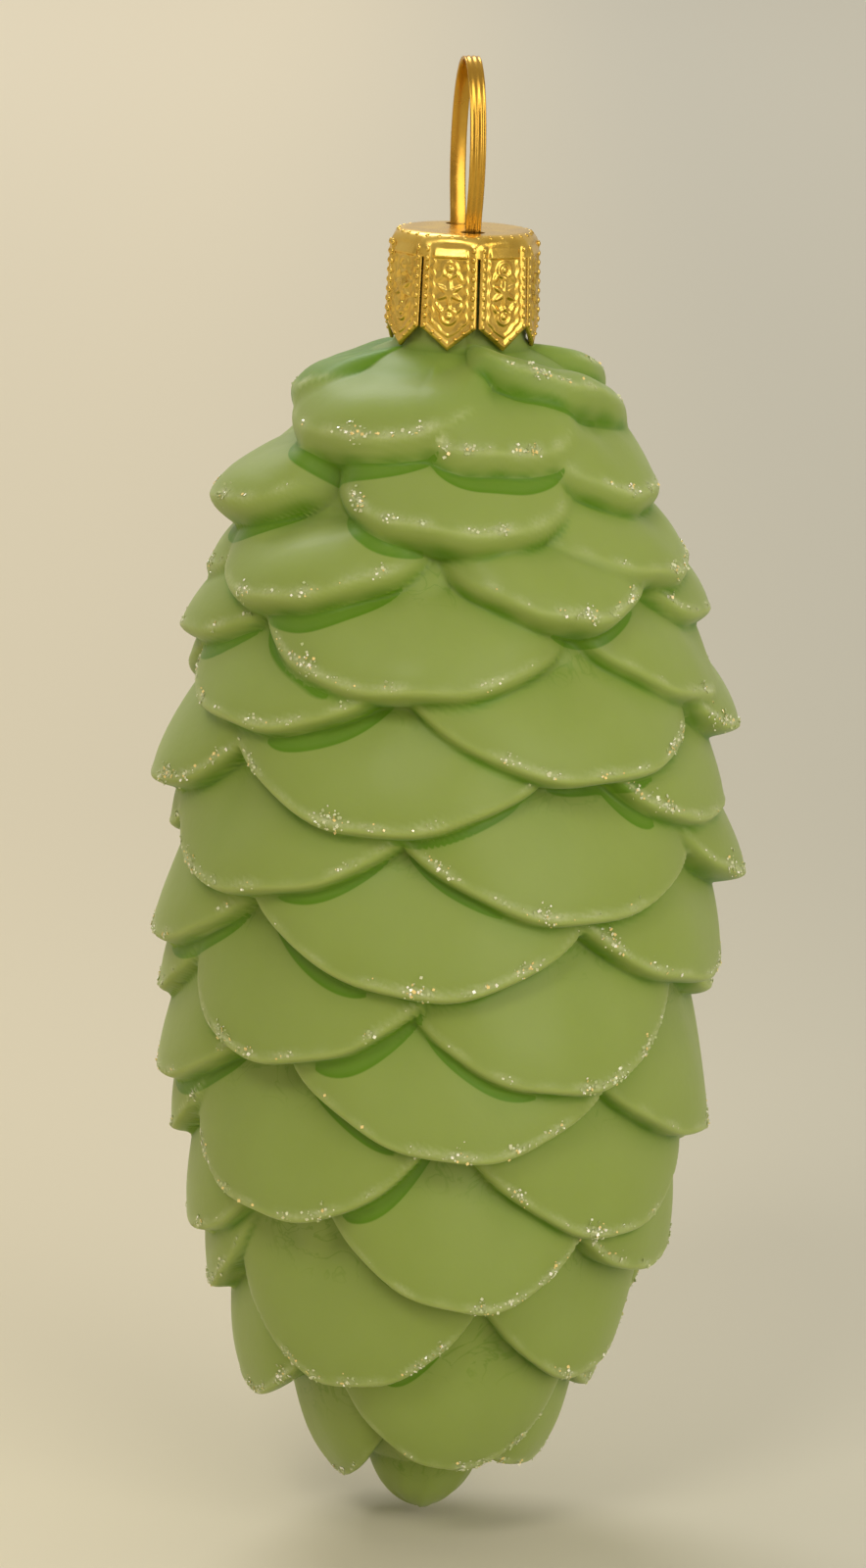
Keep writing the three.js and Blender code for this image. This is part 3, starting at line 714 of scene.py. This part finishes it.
def make_glitter():
    places, outward, sizes, tints = scatter_glitter()
    carrier = make_object("glitter_places", places, [])
    add_attribute(carrier.data, "outward", outward, "FLOAT_VECTOR")
    add_attribute(carrier.data, "size", sizes)
    add_attribute(carrier.data, "tint_and_glint", tints)
    tree, start, end = new_shape_tree("scattered flakes", {
        "Flake Radius": "NodeSocketFloat",
        "Flake Thickness": "NodeSocketFloat",
        "Tilt": "NodeSocketFloat",
        "Material": "NodeSocketMaterial",
    })
    flake = add_node(tree, "GeometryNodeMeshCylinder", {
        "Vertices": 4,
        "Radius": start.outputs["Flake Radius"],
        "Depth": start.outputs["Flake Thickness"],
    })
    facing = add_node(tree, "GeometryNodeInputNamedAttribute", {"Name": "outward"},
                      data_type="FLOAT_VECTOR")
    size = add_node(tree, "GeometryNodeInputNamedAttribute", {"Name": "size"}, data_type="FLOAT")
    least = add_node(tree, "ShaderNodeMath", {0: start.outputs["Tilt"], 1: -1.0},
                     operation="MULTIPLY")
    lean = [add_node(tree, "FunctionNodeRandomValue", {
        "Min": least.outputs["Value"], "Max": start.outputs["Tilt"], "Seed": seed,
    }, data_type="FLOAT") for seed in (3, 4)]
    for node in lean:
        tree.links.new(least.outputs["Value"], node.inputs[2])
        tree.links.new(start.outputs["Tilt"], node.inputs[3])
    spin = add_node(tree, "FunctionNodeRandomValue", {"Seed": 5}, data_type="FLOAT")
    spin.inputs[3].default_value = 2 * math.pi
    tilt = add_node(tree, "ShaderNodeCombineXYZ", {
        "X": lean[0].outputs[1], "Y": lean[1].outputs[1], "Z": spin.outputs[1],
    })
    aligned = add_node(tree, "FunctionNodeAlignRotationToVector", {
        "Vector": facing.outputs["Attribute"],
    }, axis="Z")
    turned = add_node(tree, "FunctionNodeRotateRotation", {
        "Rotation": aligned.outputs["Rotation"],
        "Rotate By": tilt.outputs["Vector"],
    }, rotation_space="LOCAL")
    flakes = add_node(tree, "GeometryNodeInstanceOnPoints", {
        "Points": start.outputs["Geometry"],
        "Instance": flake.outputs["Mesh"],
        "Rotation": turned.outputs["Rotation"],
        "Scale": size.outputs["Attribute"],
    })
    real = add_node(tree, "GeometryNodeRealizeInstances", {"Geometry": flakes.outputs["Instances"]})
    dressed = add_node(tree, "GeometryNodeSetMaterial", {
        "Geometry": real.outputs["Geometry"], "Material": start.outputs["Material"],
    })
    tree.links.new(dressed.outputs["Geometry"], end.inputs["Geometry"])
    return bake_shape(carrier, tree, {
        "Flake Radius": FLAKE_RADIUS / 1000,
        "Flake Thickness": FLAKE_THICKNESS / 1000,
        "Tilt": FLAKE_TILT,
        "Material": make_flake_material(),
    }, "glitter_lines")


glitter = make_glitter()
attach(glitter, "glass body")

# Metal cap
# A little cup stamped from thin brass-coloured aluminium: its skirt is slit into eight
# pointed tabs, each embossed with a rope of beads, a raised line, a star and two ringed dots.

CAP_WALL = 0.3
CAP_RADIUS = 5.65
CAP_FLARE = 0.3
CAP_CORNER = 1.0
TAB_COUNT = 8
CAP_TURN = 0.5
SLOT_WIDTH = 0.2
SLOT_TOP_DEPTH = 1.74
TAB_SHOULDER_DEPTH = 7.1
TAB_POINT_DEPTH = 8.85
LEG_PITCH = 6.0
LEG_HOLE_RADIUS = 0.94
TAB_COLUMNS = 44
TAB_ROWS = 68
DISC_RINGS = 12
CORNER_RINGS = 20
RIM_BEADS = 32
BEAD_RADIUS = 0.2
BEAD_PITCH = 0.75
ROPE_TOP_DEPTH = 1.1
EDGE_TO_BEADS = 0.3
EDGE_TO_LINE = 0.82
FACET_TOP_DEPTH = 0.95
FACET_FOOT_DEPTH = 1.8
STAR_DEPTH = 4.4
DOT_DEPTHS = (2.6, 6.2)
TAB_FLATNESS = 0.8
TAB_FLAT_SIZE = 1.035
ROPE_RIDGE = (0.26, 0.12)
LINE_RIDGE = (0.17, 0.11)
LINE_WAVE = 0.07
LINE_WAVE_LENGTH = 0.95
FACET_HEIGHT = 0.28
STAR_SPOKES = 6
STAR_MIDDLE = 0.5
STAR_REACH = 0.75
STAR_HEIGHT = 0.22
RING_RADIUS = 0.55
RING_RIDGE = (0.18, 0.17)
DOT_RIDGE = (0.34, 0.24)
STEM_RIDGE = (0.16, 0.14)
LEAF_DEPTHS = (3.2, 5.6)
LEAF_ASIDE = 0.78
LEAF_RIDGE = (0.48, 0.17)
EMBOSS_START = 0.4
INNER_FACE_SHARE = 0.8
BEAD_OFFSET = 0.04
SIDE_BEAD_STRETCH = 1.35
POINT_BEAD_STRETCH = 0.8
RIM_BEAD_DEPTH = 0.34
RIM_BEAD_OFFSET = -0.12
RIM_BEAD_STRETCH = (1.25, 1.25, 1.0)

tab_half_width = math.pi * CAP_RADIUS / TAB_COUNT - SLOT_WIDTH / 2


def ridge(distance, half_width, height):
    """A raised round line: its height at a distance from its middle."""
    return height * np.clip(1 - (distance / half_width) ** 2, 0, 1)


def tab_edge_distance(across, depth):
    """Distance in from the outline of a tab: its two sides and its point."""
    slope = (TAB_POINT_DEPTH - TAB_SHOULDER_DEPTH) / tab_half_width
    lean = 1 / math.hypot(1, slope)
    to_side = tab_half_width - np.abs(across)
    to_point = (TAB_POINT_DEPTH - slope * np.abs(across) - depth) * lean
    return np.minimum(to_side, to_point)


def tab_emboss(across, depth):
    """Height of the stamped pattern on a tab, at millimetres across it and down the cap."""
    edge = tab_edge_distance(across, depth)
    below_rope_top = np.clip((depth - ROPE_TOP_DEPTH + 0.25) / 0.2, 0, 1)
    below_facet = np.clip((depth - FACET_FOOT_DEPTH) / 0.15, 0, 1)
    height = ridge(edge - EDGE_TO_BEADS, *ROPE_RIDGE) * below_rope_top
    line = EDGE_TO_LINE + LINE_WAVE * np.sin(depth * 2 * math.pi / LINE_WAVE_LENGTH)
    height += ridge(edge - line, *LINE_RIDGE) * below_facet
    inside = np.clip((tab_half_width - EDGE_TO_LINE + 0.1 - np.abs(across)) / 0.12, 0, 1)
    facet = np.clip((depth - FACET_TOP_DEPTH) / (FACET_FOOT_DEPTH - FACET_TOP_DEPTH), 0, 1)
    facet_foot = np.clip((FACET_FOOT_DEPTH - depth) / 0.12, 0, 1)
    height += FACET_HEIGHT * facet * facet_foot * inside
    from_star = np.hypot(across, depth - STAR_DEPTH)
    spoke = np.arctan2(across, STAR_DEPTH - depth) * STAR_SPOKES / (2 * math.pi)
    reach = STAR_MIDDLE + STAR_REACH * (2 * np.abs((spoke % 1) - 0.5)) ** 1.7
    height += STAR_HEIGHT * np.clip((reach - from_star) / STAR_HEIGHT, 0, 1)
    for dot_depth in DOT_DEPTHS:
        from_dot = np.hypot(across, depth - dot_depth)
        height += ridge(from_dot - RING_RADIUS, *RING_RIDGE) + ridge(from_dot, *DOT_RIDGE)
    from_dots = np.minimum(np.abs(depth - DOT_DEPTHS[0]), np.abs(depth - DOT_DEPTHS[1]))
    between = (depth > DOT_DEPTHS[0]) & (depth < DOT_DEPTHS[1]) & (from_dots > 0.6)
    height += ridge(across, *STEM_RIDGE) * between * (from_star > 1.0)
    for side in (-1, 1):
        for leaf_depth in LEAF_DEPTHS:
            tilt = across - side * LEAF_ASIDE - 0.5 * side * np.sign(STAR_DEPTH - leaf_depth) * (
                depth - leaf_depth)
            height += ridge(np.hypot(tilt * 1.7, depth - leaf_depth), *LEAF_RIDGE)
    return height


def cap_profile(travel_depth):
    """Radius and depth down the plain cap, and outward direction, by depth of the skirt."""
    corner = CAP_RADIUS - CAP_CORNER
    turn = np.clip(travel_depth / CAP_CORNER, 0, 1) * math.pi / 2
    share = np.clip((travel_depth - CAP_CORNER) / (TAB_POINT_DEPTH - CAP_CORNER), 0, 1)
    radius = corner + CAP_CORNER * np.sin(turn) + CAP_FLARE * share
    depth = np.where(travel_depth < CAP_CORNER, CAP_CORNER * (1 - np.cos(turn)), travel_depth)
    return radius, depth, np.sin(turn), -np.cos(turn)


def cap_point(angle, travel_depth, offset, lean=0.0):
    """Point on the skirt or corner; lean bends a tab out by that much at its point."""
    radius, depth, out_radius, out_depth = cap_profile(travel_depth)
    bend = np.clip((depth - SLOT_TOP_DEPTH) / (TAB_POINT_DEPTH - SLOT_TOP_DEPTH), 0, 1)
    half_tab = math.pi / TAB_COUNT
    in_tab = (angle - math.radians(CAP_TURN)) % (2 * half_tab) - half_tab
    flat = TAB_FLAT_SIZE * math.cos(half_tab) / np.cos(in_tab) - 1
    flatness = TAB_FLATNESS * np.clip((depth - 0.1) / 0.8, 0, 1)
    ring = radius * (1 + flatness * flat) + offset * out_radius + lean * bend ** 1.5
    z = CAP_TOP_Z - (depth + offset * out_depth)
    return np.stack([ring * np.sin(angle), -ring * np.cos(angle), z], -1)


# How far each tab was pressed in or out by hand, in millimetres at its point
TAB_LEANS = (0.0, -0.12, 0.05, -0.05, 0.08, -0.1, 0.02, -0.04)


def make_cap_cup():
    """The stamped sheet: a disc and corner in whole rings, and a grid for each tab."""
    columns = TAB_COLUMNS + 1
    pitch = 2 * math.pi / TAB_COUNT
    shares = np.linspace(-1, 1, columns)
    across = shares * tab_half_width
    half_angle = tab_half_width / CAP_RADIUS
    tab_angles = [math.radians(CAP_TURN) + (tab + 0.5) * pitch + shares * half_angle
                  for tab in range(TAB_COUNT)]
    angles = np.concatenate(tab_angles)
    across_all = np.tile(across, TAB_COUNT)
    points, faces = [], []

    def sheet(offset_by):
        """Outer or inner face of the sheet: its points, and the count of them before it."""
        start = len(points)
        corner = CAP_RADIUS - CAP_CORNER
        points.append((0, 0, CAP_TOP_Z + offset_by))
        for ring in range(1, DISC_RINGS):
            radius = corner * ring / DISC_RINGS
            z = np.full(len(angles), CAP_TOP_Z + offset_by)
            points.extend(np.stack([radius * np.sin(angles), -radius * np.cos(angles), z], -1))
        band = np.linspace(0, SLOT_TOP_DEPTH, CORNER_RINGS)
        for travel in band:
            emboss = tab_emboss(across_all, np.full(len(angles), travel)) * (travel > EMBOSS_START)
            points.extend(cap_point(angles, np.full(len(angles), travel), offset_by + emboss))
        whole = len(points)
        for tab in range(TAB_COUNT):
            slope = (TAB_POINT_DEPTH - TAB_SHOULDER_DEPTH)
            foot = TAB_POINT_DEPTH - slope * np.abs(shares)
            for row in range(1, TAB_ROWS + 1):
                travel = SLOT_TOP_DEPTH + (foot - SLOT_TOP_DEPTH) * row / TAB_ROWS
                emboss = tab_emboss(across, travel)
                points.extend(cap_point(
                    tab_angles[tab], travel, offset_by + emboss, TAB_LEANS[tab]))
        return start, whole

    ring_size = len(angles)
    band_rings = DISC_RINGS - 1 + CORNER_RINGS
    starts = [sheet(0.0), sheet(-CAP_WALL * INNER_FACE_SHARE)]
    for (start, whole), flip in zip(starts, (False, True)):
        def add(*corners):
            faces.append(corners[::-1] if flip else corners)
        for side in range(ring_size):
            beside = (side + 1) % ring_size
            add(start, start + 1 + side, start + 1 + beside)
            for ring in range(band_rings - 1):
                upper = start + 1 + ring * ring_size
                lower = upper + ring_size
                add(upper + side, lower + side, lower + beside, upper + beside)
        last_ring = start + 1 + (band_rings - 1) * ring_size
        for tab in range(TAB_COUNT):
            first = whole + tab * TAB_ROWS * columns
            for row in range(TAB_ROWS):
                upper = last_ring + tab * columns if row == 0 else first + (row - 1) * columns
                lower = first + row * columns
                for column in range(TAB_COLUMNS):
                    add(upper + column, lower + column, lower + column + 1, upper + column + 1)
    (outer, outer_whole), (inner, _) = starts
    shift = inner - outer
    last_ring = outer + 1 + (band_rings - 1) * ring_size
    for tab in range(TAB_COUNT):
        first = outer_whole + tab * TAB_ROWS * columns
        top = last_ring + tab * columns
        left = [top] + [first + row * columns for row in range(TAB_ROWS)]
        right = [top + TAB_COLUMNS] + [
            first + row * columns + TAB_COLUMNS for row in range(TAB_ROWS)]
        foot = [first + (TAB_ROWS - 1) * columns + column for column in range(columns)]
        rim = left + foot[1:-1] + right[::-1]
        for a, b in zip(rim, rim[1:]):
            faces.append((a, a + shift, b + shift, b))
        beyond = last_ring + (tab * columns + TAB_COLUMNS + 1) % ring_size
        a, b = top + TAB_COLUMNS, beyond
        faces.append((a, a + shift, b + shift, b))
    return np.array(points), faces


def make_gold_material(name, dark, light, roughness, scratch_scale, scratch):
    """Gold-coloured finish of the cap and, in a smoother form, the hanger.

    It gives the eye warm mirror-like glints, broken by a fine grain.
    """
    material, tree, shader = new_material(name, {
        "Metallic": 1.0,
        "Roughness": roughness,
    })
    place = add_node(tree, "ShaderNodeTexCoord").outputs["Object"]
    # Handling dulls the shine in patches about 2 mm across
    tarnish = add_node(tree, "ShaderNodeTexNoise", {"Vector": place, "Scale": 500.0, "Detail": 4.0})
    tone = add_node(tree, "ShaderNodeMix", {
        "Factor": tarnish.outputs["Fac"], "A": colour(dark), "B": colour(light),
    }, data_type="RGBA")
    tree.links.new(tone.outputs["Result"], shader.inputs["Base Color"])
    dull = add_node(tree, "ShaderNodeMapRange", {
        "Value": tarnish.outputs["Fac"], "To Min": roughness - 0.08, "To Max": roughness + 0.12,
    })
    tree.links.new(dull.outputs["Result"], shader.inputs["Roughness"])
    # Grain of the rolled sheet, drawn at 0.4 mm on the cap and 0.7 mm on the hanger so that
    # it shows
    fine = add_node(tree, "ShaderNodeTexNoise", {
        "Vector": place, "Scale": scratch_scale, "Detail": 2.0,
    })
    bump = add_node(tree, "ShaderNodeBump", {
        "Strength": scratch, "Distance": 0.0001, "Height": fine.outputs["Fac"],
    })
    tree.links.new(bump.outputs["Normal"], shader.inputs["Normal"])
    return material


def bead_places():
    """Middles of the beads, down and round each tab and on the rim, and how each is stretched."""
    slope = (TAB_POINT_DEPTH - TAB_SHOULDER_DEPTH) / tab_half_width
    in_point = EDGE_TO_BEADS * math.hypot(1, slope)
    side = tab_half_width - EDGE_TO_BEADS
    corner_depth = TAB_POINT_DEPTH - slope * side - in_point
    side_beads = round((corner_depth - ROPE_TOP_DEPTH) / BEAD_PITCH)
    point_beads = round(math.hypot(side, slope * side) / BEAD_PITCH)
    spots = [(s * side, ROPE_TOP_DEPTH + (corner_depth - ROPE_TOP_DEPTH) * i / side_beads,
              SIDE_BEAD_STRETCH)
             for s in (-1, 1) for i in range(side_beads + 1)]
    spots += [(s * side * i / point_beads,
               TAB_POINT_DEPTH - in_point - slope * side * i / point_beads, POINT_BEAD_STRETCH)
              for s in (-1, 1) for i in range(1, point_beads)]
    spots = np.array(spots)
    places, stretches = [], []
    for tab in range(TAB_COUNT):
        angle = math.radians(CAP_TURN) + (tab + 0.5) * 2 * math.pi / TAB_COUNT
        angle = angle + spots[:, 0] / CAP_RADIUS
        places.append(cap_point(angle, spots[:, 1], BEAD_OFFSET, TAB_LEANS[tab]))
        stretches.append(np.stack([np.ones(len(spots)), np.ones(len(spots)), spots[:, 2]], -1))
    angle = np.arange(RIM_BEADS) * 2 * math.pi / RIM_BEADS
    places.append(cap_point(angle, np.full(RIM_BEADS, RIM_BEAD_DEPTH), RIM_BEAD_OFFSET))
    stretches.append(np.tile(RIM_BEAD_STRETCH, (RIM_BEADS, 1)))
    return np.concatenate(places), np.concatenate(stretches)


def make_cap():
    points, faces = make_cap_cup()
    cup = make_object("cap_cup", points, faces)
    for side in (-1, 1):
        bpy.ops.mesh.primitive_cylinder_add(
            vertices=32, radius=LEG_HOLE_RADIUS / 1000, depth=0.002,
            location=(0, side * LEG_PITCH / 2000, CAP_TOP_Z / 1000))
        hole = bpy.context.object
        modifier = cup.modifiers.new("hole", "BOOLEAN")
        modifier.object = hole
        modifier.operation = "DIFFERENCE"
        modifier.solver = "EXACT"
    evaluated = cup.evaluated_get(bpy.context.evaluated_depsgraph_get())
    pierced = bpy.data.meshes.new_from_object(evaluated)
    for modifier in list(cup.modifiers):
        bpy.data.objects.remove(modifier.object)
    cup.modifiers.clear()
    cup.data = pierced
    places, stretches = bead_places()
    beads = make_object("bead_places", places, [])
    add_attribute(beads.data, "stretch", stretches, "FLOAT_VECTOR")
    tree, start, end = new_shape_tree("beaded sheet", {
        "Bead Radius": "NodeSocketFloat",
        "Sheet": "NodeSocketObject",
        "Material": "NodeSocketMaterial",
    })
    bead = add_node(tree, "GeometryNodeMeshUVSphere", {
        "Segments": 8, "Rings": 5, "Radius": start.outputs["Bead Radius"],
    })
    stretch = add_node(tree, "GeometryNodeInputNamedAttribute", {"Name": "stretch"},
                       data_type="FLOAT_VECTOR")
    row = add_node(tree, "GeometryNodeInstanceOnPoints", {
        "Points": start.outputs["Geometry"], "Instance": bead.outputs["Mesh"],
        "Scale": stretch.outputs["Attribute"],
    })
    smooth = add_node(tree, "GeometryNodeSetShadeSmooth", {"Geometry": row.outputs["Instances"]})
    real = add_node(tree, "GeometryNodeRealizeInstances", {"Geometry": smooth.outputs["Geometry"]})
    sheet = add_node(tree, "GeometryNodeObjectInfo", {"Object": start.outputs["Sheet"]})
    both = add_node(tree, "GeometryNodeJoinGeometry")
    tree.links.new(real.outputs["Geometry"], both.inputs["Geometry"])
    tree.links.new(sheet.outputs["Geometry"], both.inputs["Geometry"])
    dressed = add_node(tree, "GeometryNodeSetMaterial", {
        "Geometry": both.outputs["Geometry"], "Material": start.outputs["Material"],
    })
    tree.links.new(dressed.outputs["Geometry"], end.inputs["Geometry"])
    made = bake_shape(beads, tree, {
        "Bead Radius": BEAD_RADIUS / 1000,
        "Sheet": cup,
        "Material": make_gold_material(
            "stamped gold aluminium foil", "#d5a63d", "#f6d46f", 0.26, 2500.0, 0.15),
    }, "cap_stamped")
    bpy.data.objects.remove(cup)
    return made


cap = make_cap()
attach(cap, "cap body")
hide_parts("cap")

# Hanger
# One flat spring strip with fine grooves rolled along it, bent into a tall loop. Its two legs
# go down through the cap and spread inside the neck, which holds the cap on.

STRIP_WIDTH = 1.25
STRIP_THICKNESS = 0.3
LOOP_HEIGHT = 13.3
LOOP_WIDTH = 8.1
LOOP_MIDDLE = 5.7
FOOT_BEND = 0.3
LEG_LENGTH = 34.0
LEG_STRAIGHT = 5.5
LEG_BOW_LENGTH = 7.0
LEG_BORE_GAP = 0.35
LEG_STEPS = 120
LOOP_STEPS = 180
GROOVE_COUNT = 3
GROOVE_DEPTH = 0.07
EDGE_ROUND = 0.08


def ease(value, low, high):
    share = np.clip((value - low) / (high - low), 0, 1)
    return share ** 2 * (3 - 2 * share)


def hanger_path():
    """Middle of the strip in the YZ plane: up one leg, round the loop and down the other."""
    half_width = (LOOP_WIDTH - STRIP_THICKNESS) / 2
    half_height = LOOP_HEIGHT - STRIP_THICKNESS / 2 - LOOP_MIDDLE
    bow_half = NECK_RADIUS - GLASS_WALL - LEG_BORE_GAP - STRIP_THICKNESS / 2
    height = np.linspace(-LEG_LENGTH, LOOP_MIDDLE, LEG_STEPS)
    bow = ease(-height, LEG_STRAIGHT, LEG_STRAIGHT + LEG_BOW_LENGTH)
    drop = np.clip((LOOP_MIDDLE - height) / half_height, 0, 1)
    wider = half_width * np.sqrt(1 - drop ** 2) - LEG_PITCH / 2
    widest = half_width - LEG_PITCH / 2
    bulge = (wider + np.hypot(wider, FOOT_BEND)) / (widest + math.hypot(widest, FOOT_BEND))
    half = LEG_PITCH / 2 + widest * bulge + (bow_half - LEG_PITCH / 2) * bow
    leg = np.stack([-half, height], -1)
    sweep = np.linspace(0, math.pi, LOOP_STEPS)[1:-1]
    loop = np.stack([-half_width * np.cos(sweep), LOOP_MIDDLE + half_height * np.sin(sweep)], -1)
    return np.concatenate([leg, loop, (leg * (-1, 1))[::-1]])


def strip_section():
    """Outline of the strip across its width: three grooves outside, plain inside."""
    half = STRIP_WIDTH / 2
    across = np.linspace(-half, half, 25)
    wave = np.cos(across * 2 * math.pi * GROOVE_COUNT / STRIP_WIDTH)
    groove = GROOVE_DEPTH * (0.5 + 0.5 * wave)
    edge = np.clip((half - np.abs(across)) / EDGE_ROUND, 0, 1)
    outer = STRIP_THICKNESS / 2 - GROOVE_DEPTH * (1 - edge) - groove * edge
    inner_across = np.array([half - 0.02, half - 0.12, 0.0, 0.12 - half, 0.02 - half])
    inner = np.array([-0.09, -0.15, -0.15, -0.15, -0.09])
    return np.concatenate([np.stack([across, outer], -1), np.stack([inner_across, inner], -1)])


def make_hanger():
    path = hanger_path()
    heading = np.gradient(path, axis=0)
    heading /= np.hypot(heading[:, 0], heading[:, 1])[:, None]
    outward = np.stack([-heading[:, 1], heading[:, 0]], -1)
    section = strip_section()
    count = len(section)
    points = []
    for middle, out in zip(path, outward):
        for across, rise in section:
            y, z = middle + out * rise
            points.append((across, y, CAP_TOP_Z + z))
    faces = []
    for step in range(len(path) - 1):
        for side in range(count):
            beside = (side + 1) % count
            low, high = step * count, (step + 1) * count
            faces.append((low + side, low + beside, high + beside, high + side))
    faces.append(tuple(range(count))[::-1])
    faces.append(tuple(range((len(path) - 1) * count, len(path) * count)))
    return make_object("hanger_strip", points, faces)


hanger = make_hanger()
hanger.data.materials.append(
    make_gold_material(
        "rolled gold-lacquered spring strip", "#b68630", "#daad4a", 0.26, 1500.0, 0.08))
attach(hanger, "hanger body")
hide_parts("hanger")

# Studio
# A pale warm floor just under the tip, painted darker and greyer to the right and further back
# as painted shade, soft lamps at a plain level, and the camera of the photograph: half a metre
# away, a little above the cone and a little tilted.

FLOOR_DEPTH = 0.1168
CAMERA_DISTANCE = 0.5
CAMERA_ELEVATION = 11.5
CAMERA_ROLL = 2.0
CAMERA_LENS = 146
SENSOR_HEIGHT = 36
AIM_Z = -0.0569
AIM_LEFT = 0.001
FLOOR_HALF_SIDE = 2500


def make_floor():
    side = FLOOR_HALF_SIDE
    z = -FLOOR_DEPTH * 1000
    corners = [(-side, -side, z), (side, -side, z), (side, side, z), (-side, side, z)]
    made = make_object("floor", corners, [(0, 1, 2, 3)])
    material, tree, shader = new_material("matt warm paper", {"Roughness": 0.9})
    place = add_node(tree, "ShaderNodeTexCoord").outputs["Object"]
    side_way = (math.cos(math.radians(CONE_TURN)), math.sin(math.radians(CONE_TURN)), 0)
    across = add_node(tree, "ShaderNodeVectorMath", {0: place, 1: side_way},
                      operation="DOT_PRODUCT")
    # Painted shade: the paper is darker and greyer to the right of the cone
    aside = add_node(tree, "ShaderNodeMapRange", {
        "Value": across.outputs["Value"], "From Min": -0.07, "From Max": 0.07,
    }, interpolation_type="SMOOTHSTEP")
    side_shaded = add_node(tree, "ShaderNodeMix", {
        "Factor": aside.outputs["Result"], "A": colour("#e1d7b9"), "B": colour("#c7c3af"),
    }, data_type="RGBA")
    back_way = (-side_way[1], side_way[0], 0)
    # Painted shade: the paper is darker further back
    behind = add_node(tree, "ShaderNodeVectorMath", {0: place, 1: back_way},
                      operation="DOT_PRODUCT")
    back_shaded = add_node(tree, "ShaderNodeMapRange", {
        "Value": behind.outputs["Value"], "From Min": 0.03, "From Max": 0.3,
        "To Min": 0.94, "To Max": 0.84,
    }, interpolation_type="SMOOTHSTEP")
    shaded_paper = add_node(tree, "ShaderNodeVectorMath", {
        0: side_shaded.outputs["Result"], "Scale": back_shaded.outputs["Result"],
    }, operation="SCALE")
    tree.links.new(shaded_paper.outputs["Vector"], shader.inputs["Base Color"])
    made.data.materials.append(material)
    return made


floor = make_floor()


def add_lamp(name, place, aim, size, power, shade):
    data = bpy.data.lights.new(name, "AREA")
    data.shape = "DISK"
    data.size = size
    data.energy = power
    data.color = colour(shade)[:3]
    lamp = bpy.data.objects.new(name, data)
    lamp.location = place
    lamp.rotation_euler = (Vector(aim) - Vector(place)).to_track_quat("-Z", "Y").to_euler()
    bpy.context.collection.objects.link(lamp)


middle = (0, 0, -0.06)
add_lamp("high soft lamp", (0.55, -1.15, 0.42), middle, 1.1, 8.8, "#fffaf2")
add_lamp("left small lamp", (-0.55, -0.85, 0.85), middle, 0.4, 4.2, "#fffaf2")
add_lamp("far soft lamp", (-0.3, 1.6, 1.6), (0.0, 1.3, -0.117), 1.2, 24.0, "#f8f6ff")


def make_world():
    """A plain room: a pale wall behind and ceiling, and darker on the camera's side."""
    world = bpy.data.worlds.new("room")
    world.use_nodes = True
    tree = world.node_tree
    ahead = add_node(tree, "ShaderNodeTexCoord").outputs["Generated"]
    split = add_node(tree, "ShaderNodeSeparateXYZ", {"Vector": ahead})
    behind = add_node(tree, "ShaderNodeMapRange", {
        "Value": split.outputs["Y"], "From Min": -0.6, "From Max": 0.6,
        "To Min": 0.36, "To Max": 0.62,
    })
    overhead = add_node(tree, "ShaderNodeMapRange", {
        "Value": split.outputs["Z"], "From Min": 0.0, "From Max": 0.9,
        "To Min": 0.0, "To Max": 0.1,
    })
    bright = add_node(tree, "ShaderNodeMath", {
        0: behind.outputs["Result"], 1: overhead.outputs["Result"],
    }, operation="ADD")
    back = tree.nodes["Background"]
    back.inputs["Color"].default_value = colour("#f7f1e4")
    tree.links.new(bright.outputs["Value"], back.inputs["Strength"])
    bpy.context.scene.world = world


make_world()
bpy.context.scene.view_settings.view_transform = "Standard"


def place_camera():
    """Sets the camera from its distance and angles, aimed a little left of the axis."""
    turn, rise = math.radians(CONE_TURN), math.radians(CAMERA_ELEVATION)
    right = Vector((math.cos(turn), math.sin(turn), 0))
    flat = math.cos(rise)
    ahead = Vector((-math.sin(turn) * flat, math.cos(turn) * flat, -math.sin(rise)))
    up = right.cross(ahead)
    roll = math.radians(CAMERA_ROLL)
    own_right = right * math.cos(roll) + up * math.sin(roll)
    own_up = up * math.cos(roll) - right * math.sin(roll)
    target = Vector((0, 0, AIM_Z)) - right * AIM_LEFT
    data = bpy.data.cameras.new("camera")
    data.sensor_fit = "VERTICAL"
    data.sensor_height = SENSOR_HEIGHT
    data.lens = CAMERA_LENS
    camera = bpy.data.objects.new("camera", data)
    matrix = Matrix((own_right, own_up, -ahead)).transposed().to_4x4()
    matrix.translation = target - ahead * CAMERA_DISTANCE
    camera.matrix_world = matrix
    bpy.context.collection.objects.link(camera)
    bpy.context.scene.camera = camera


place_camera()
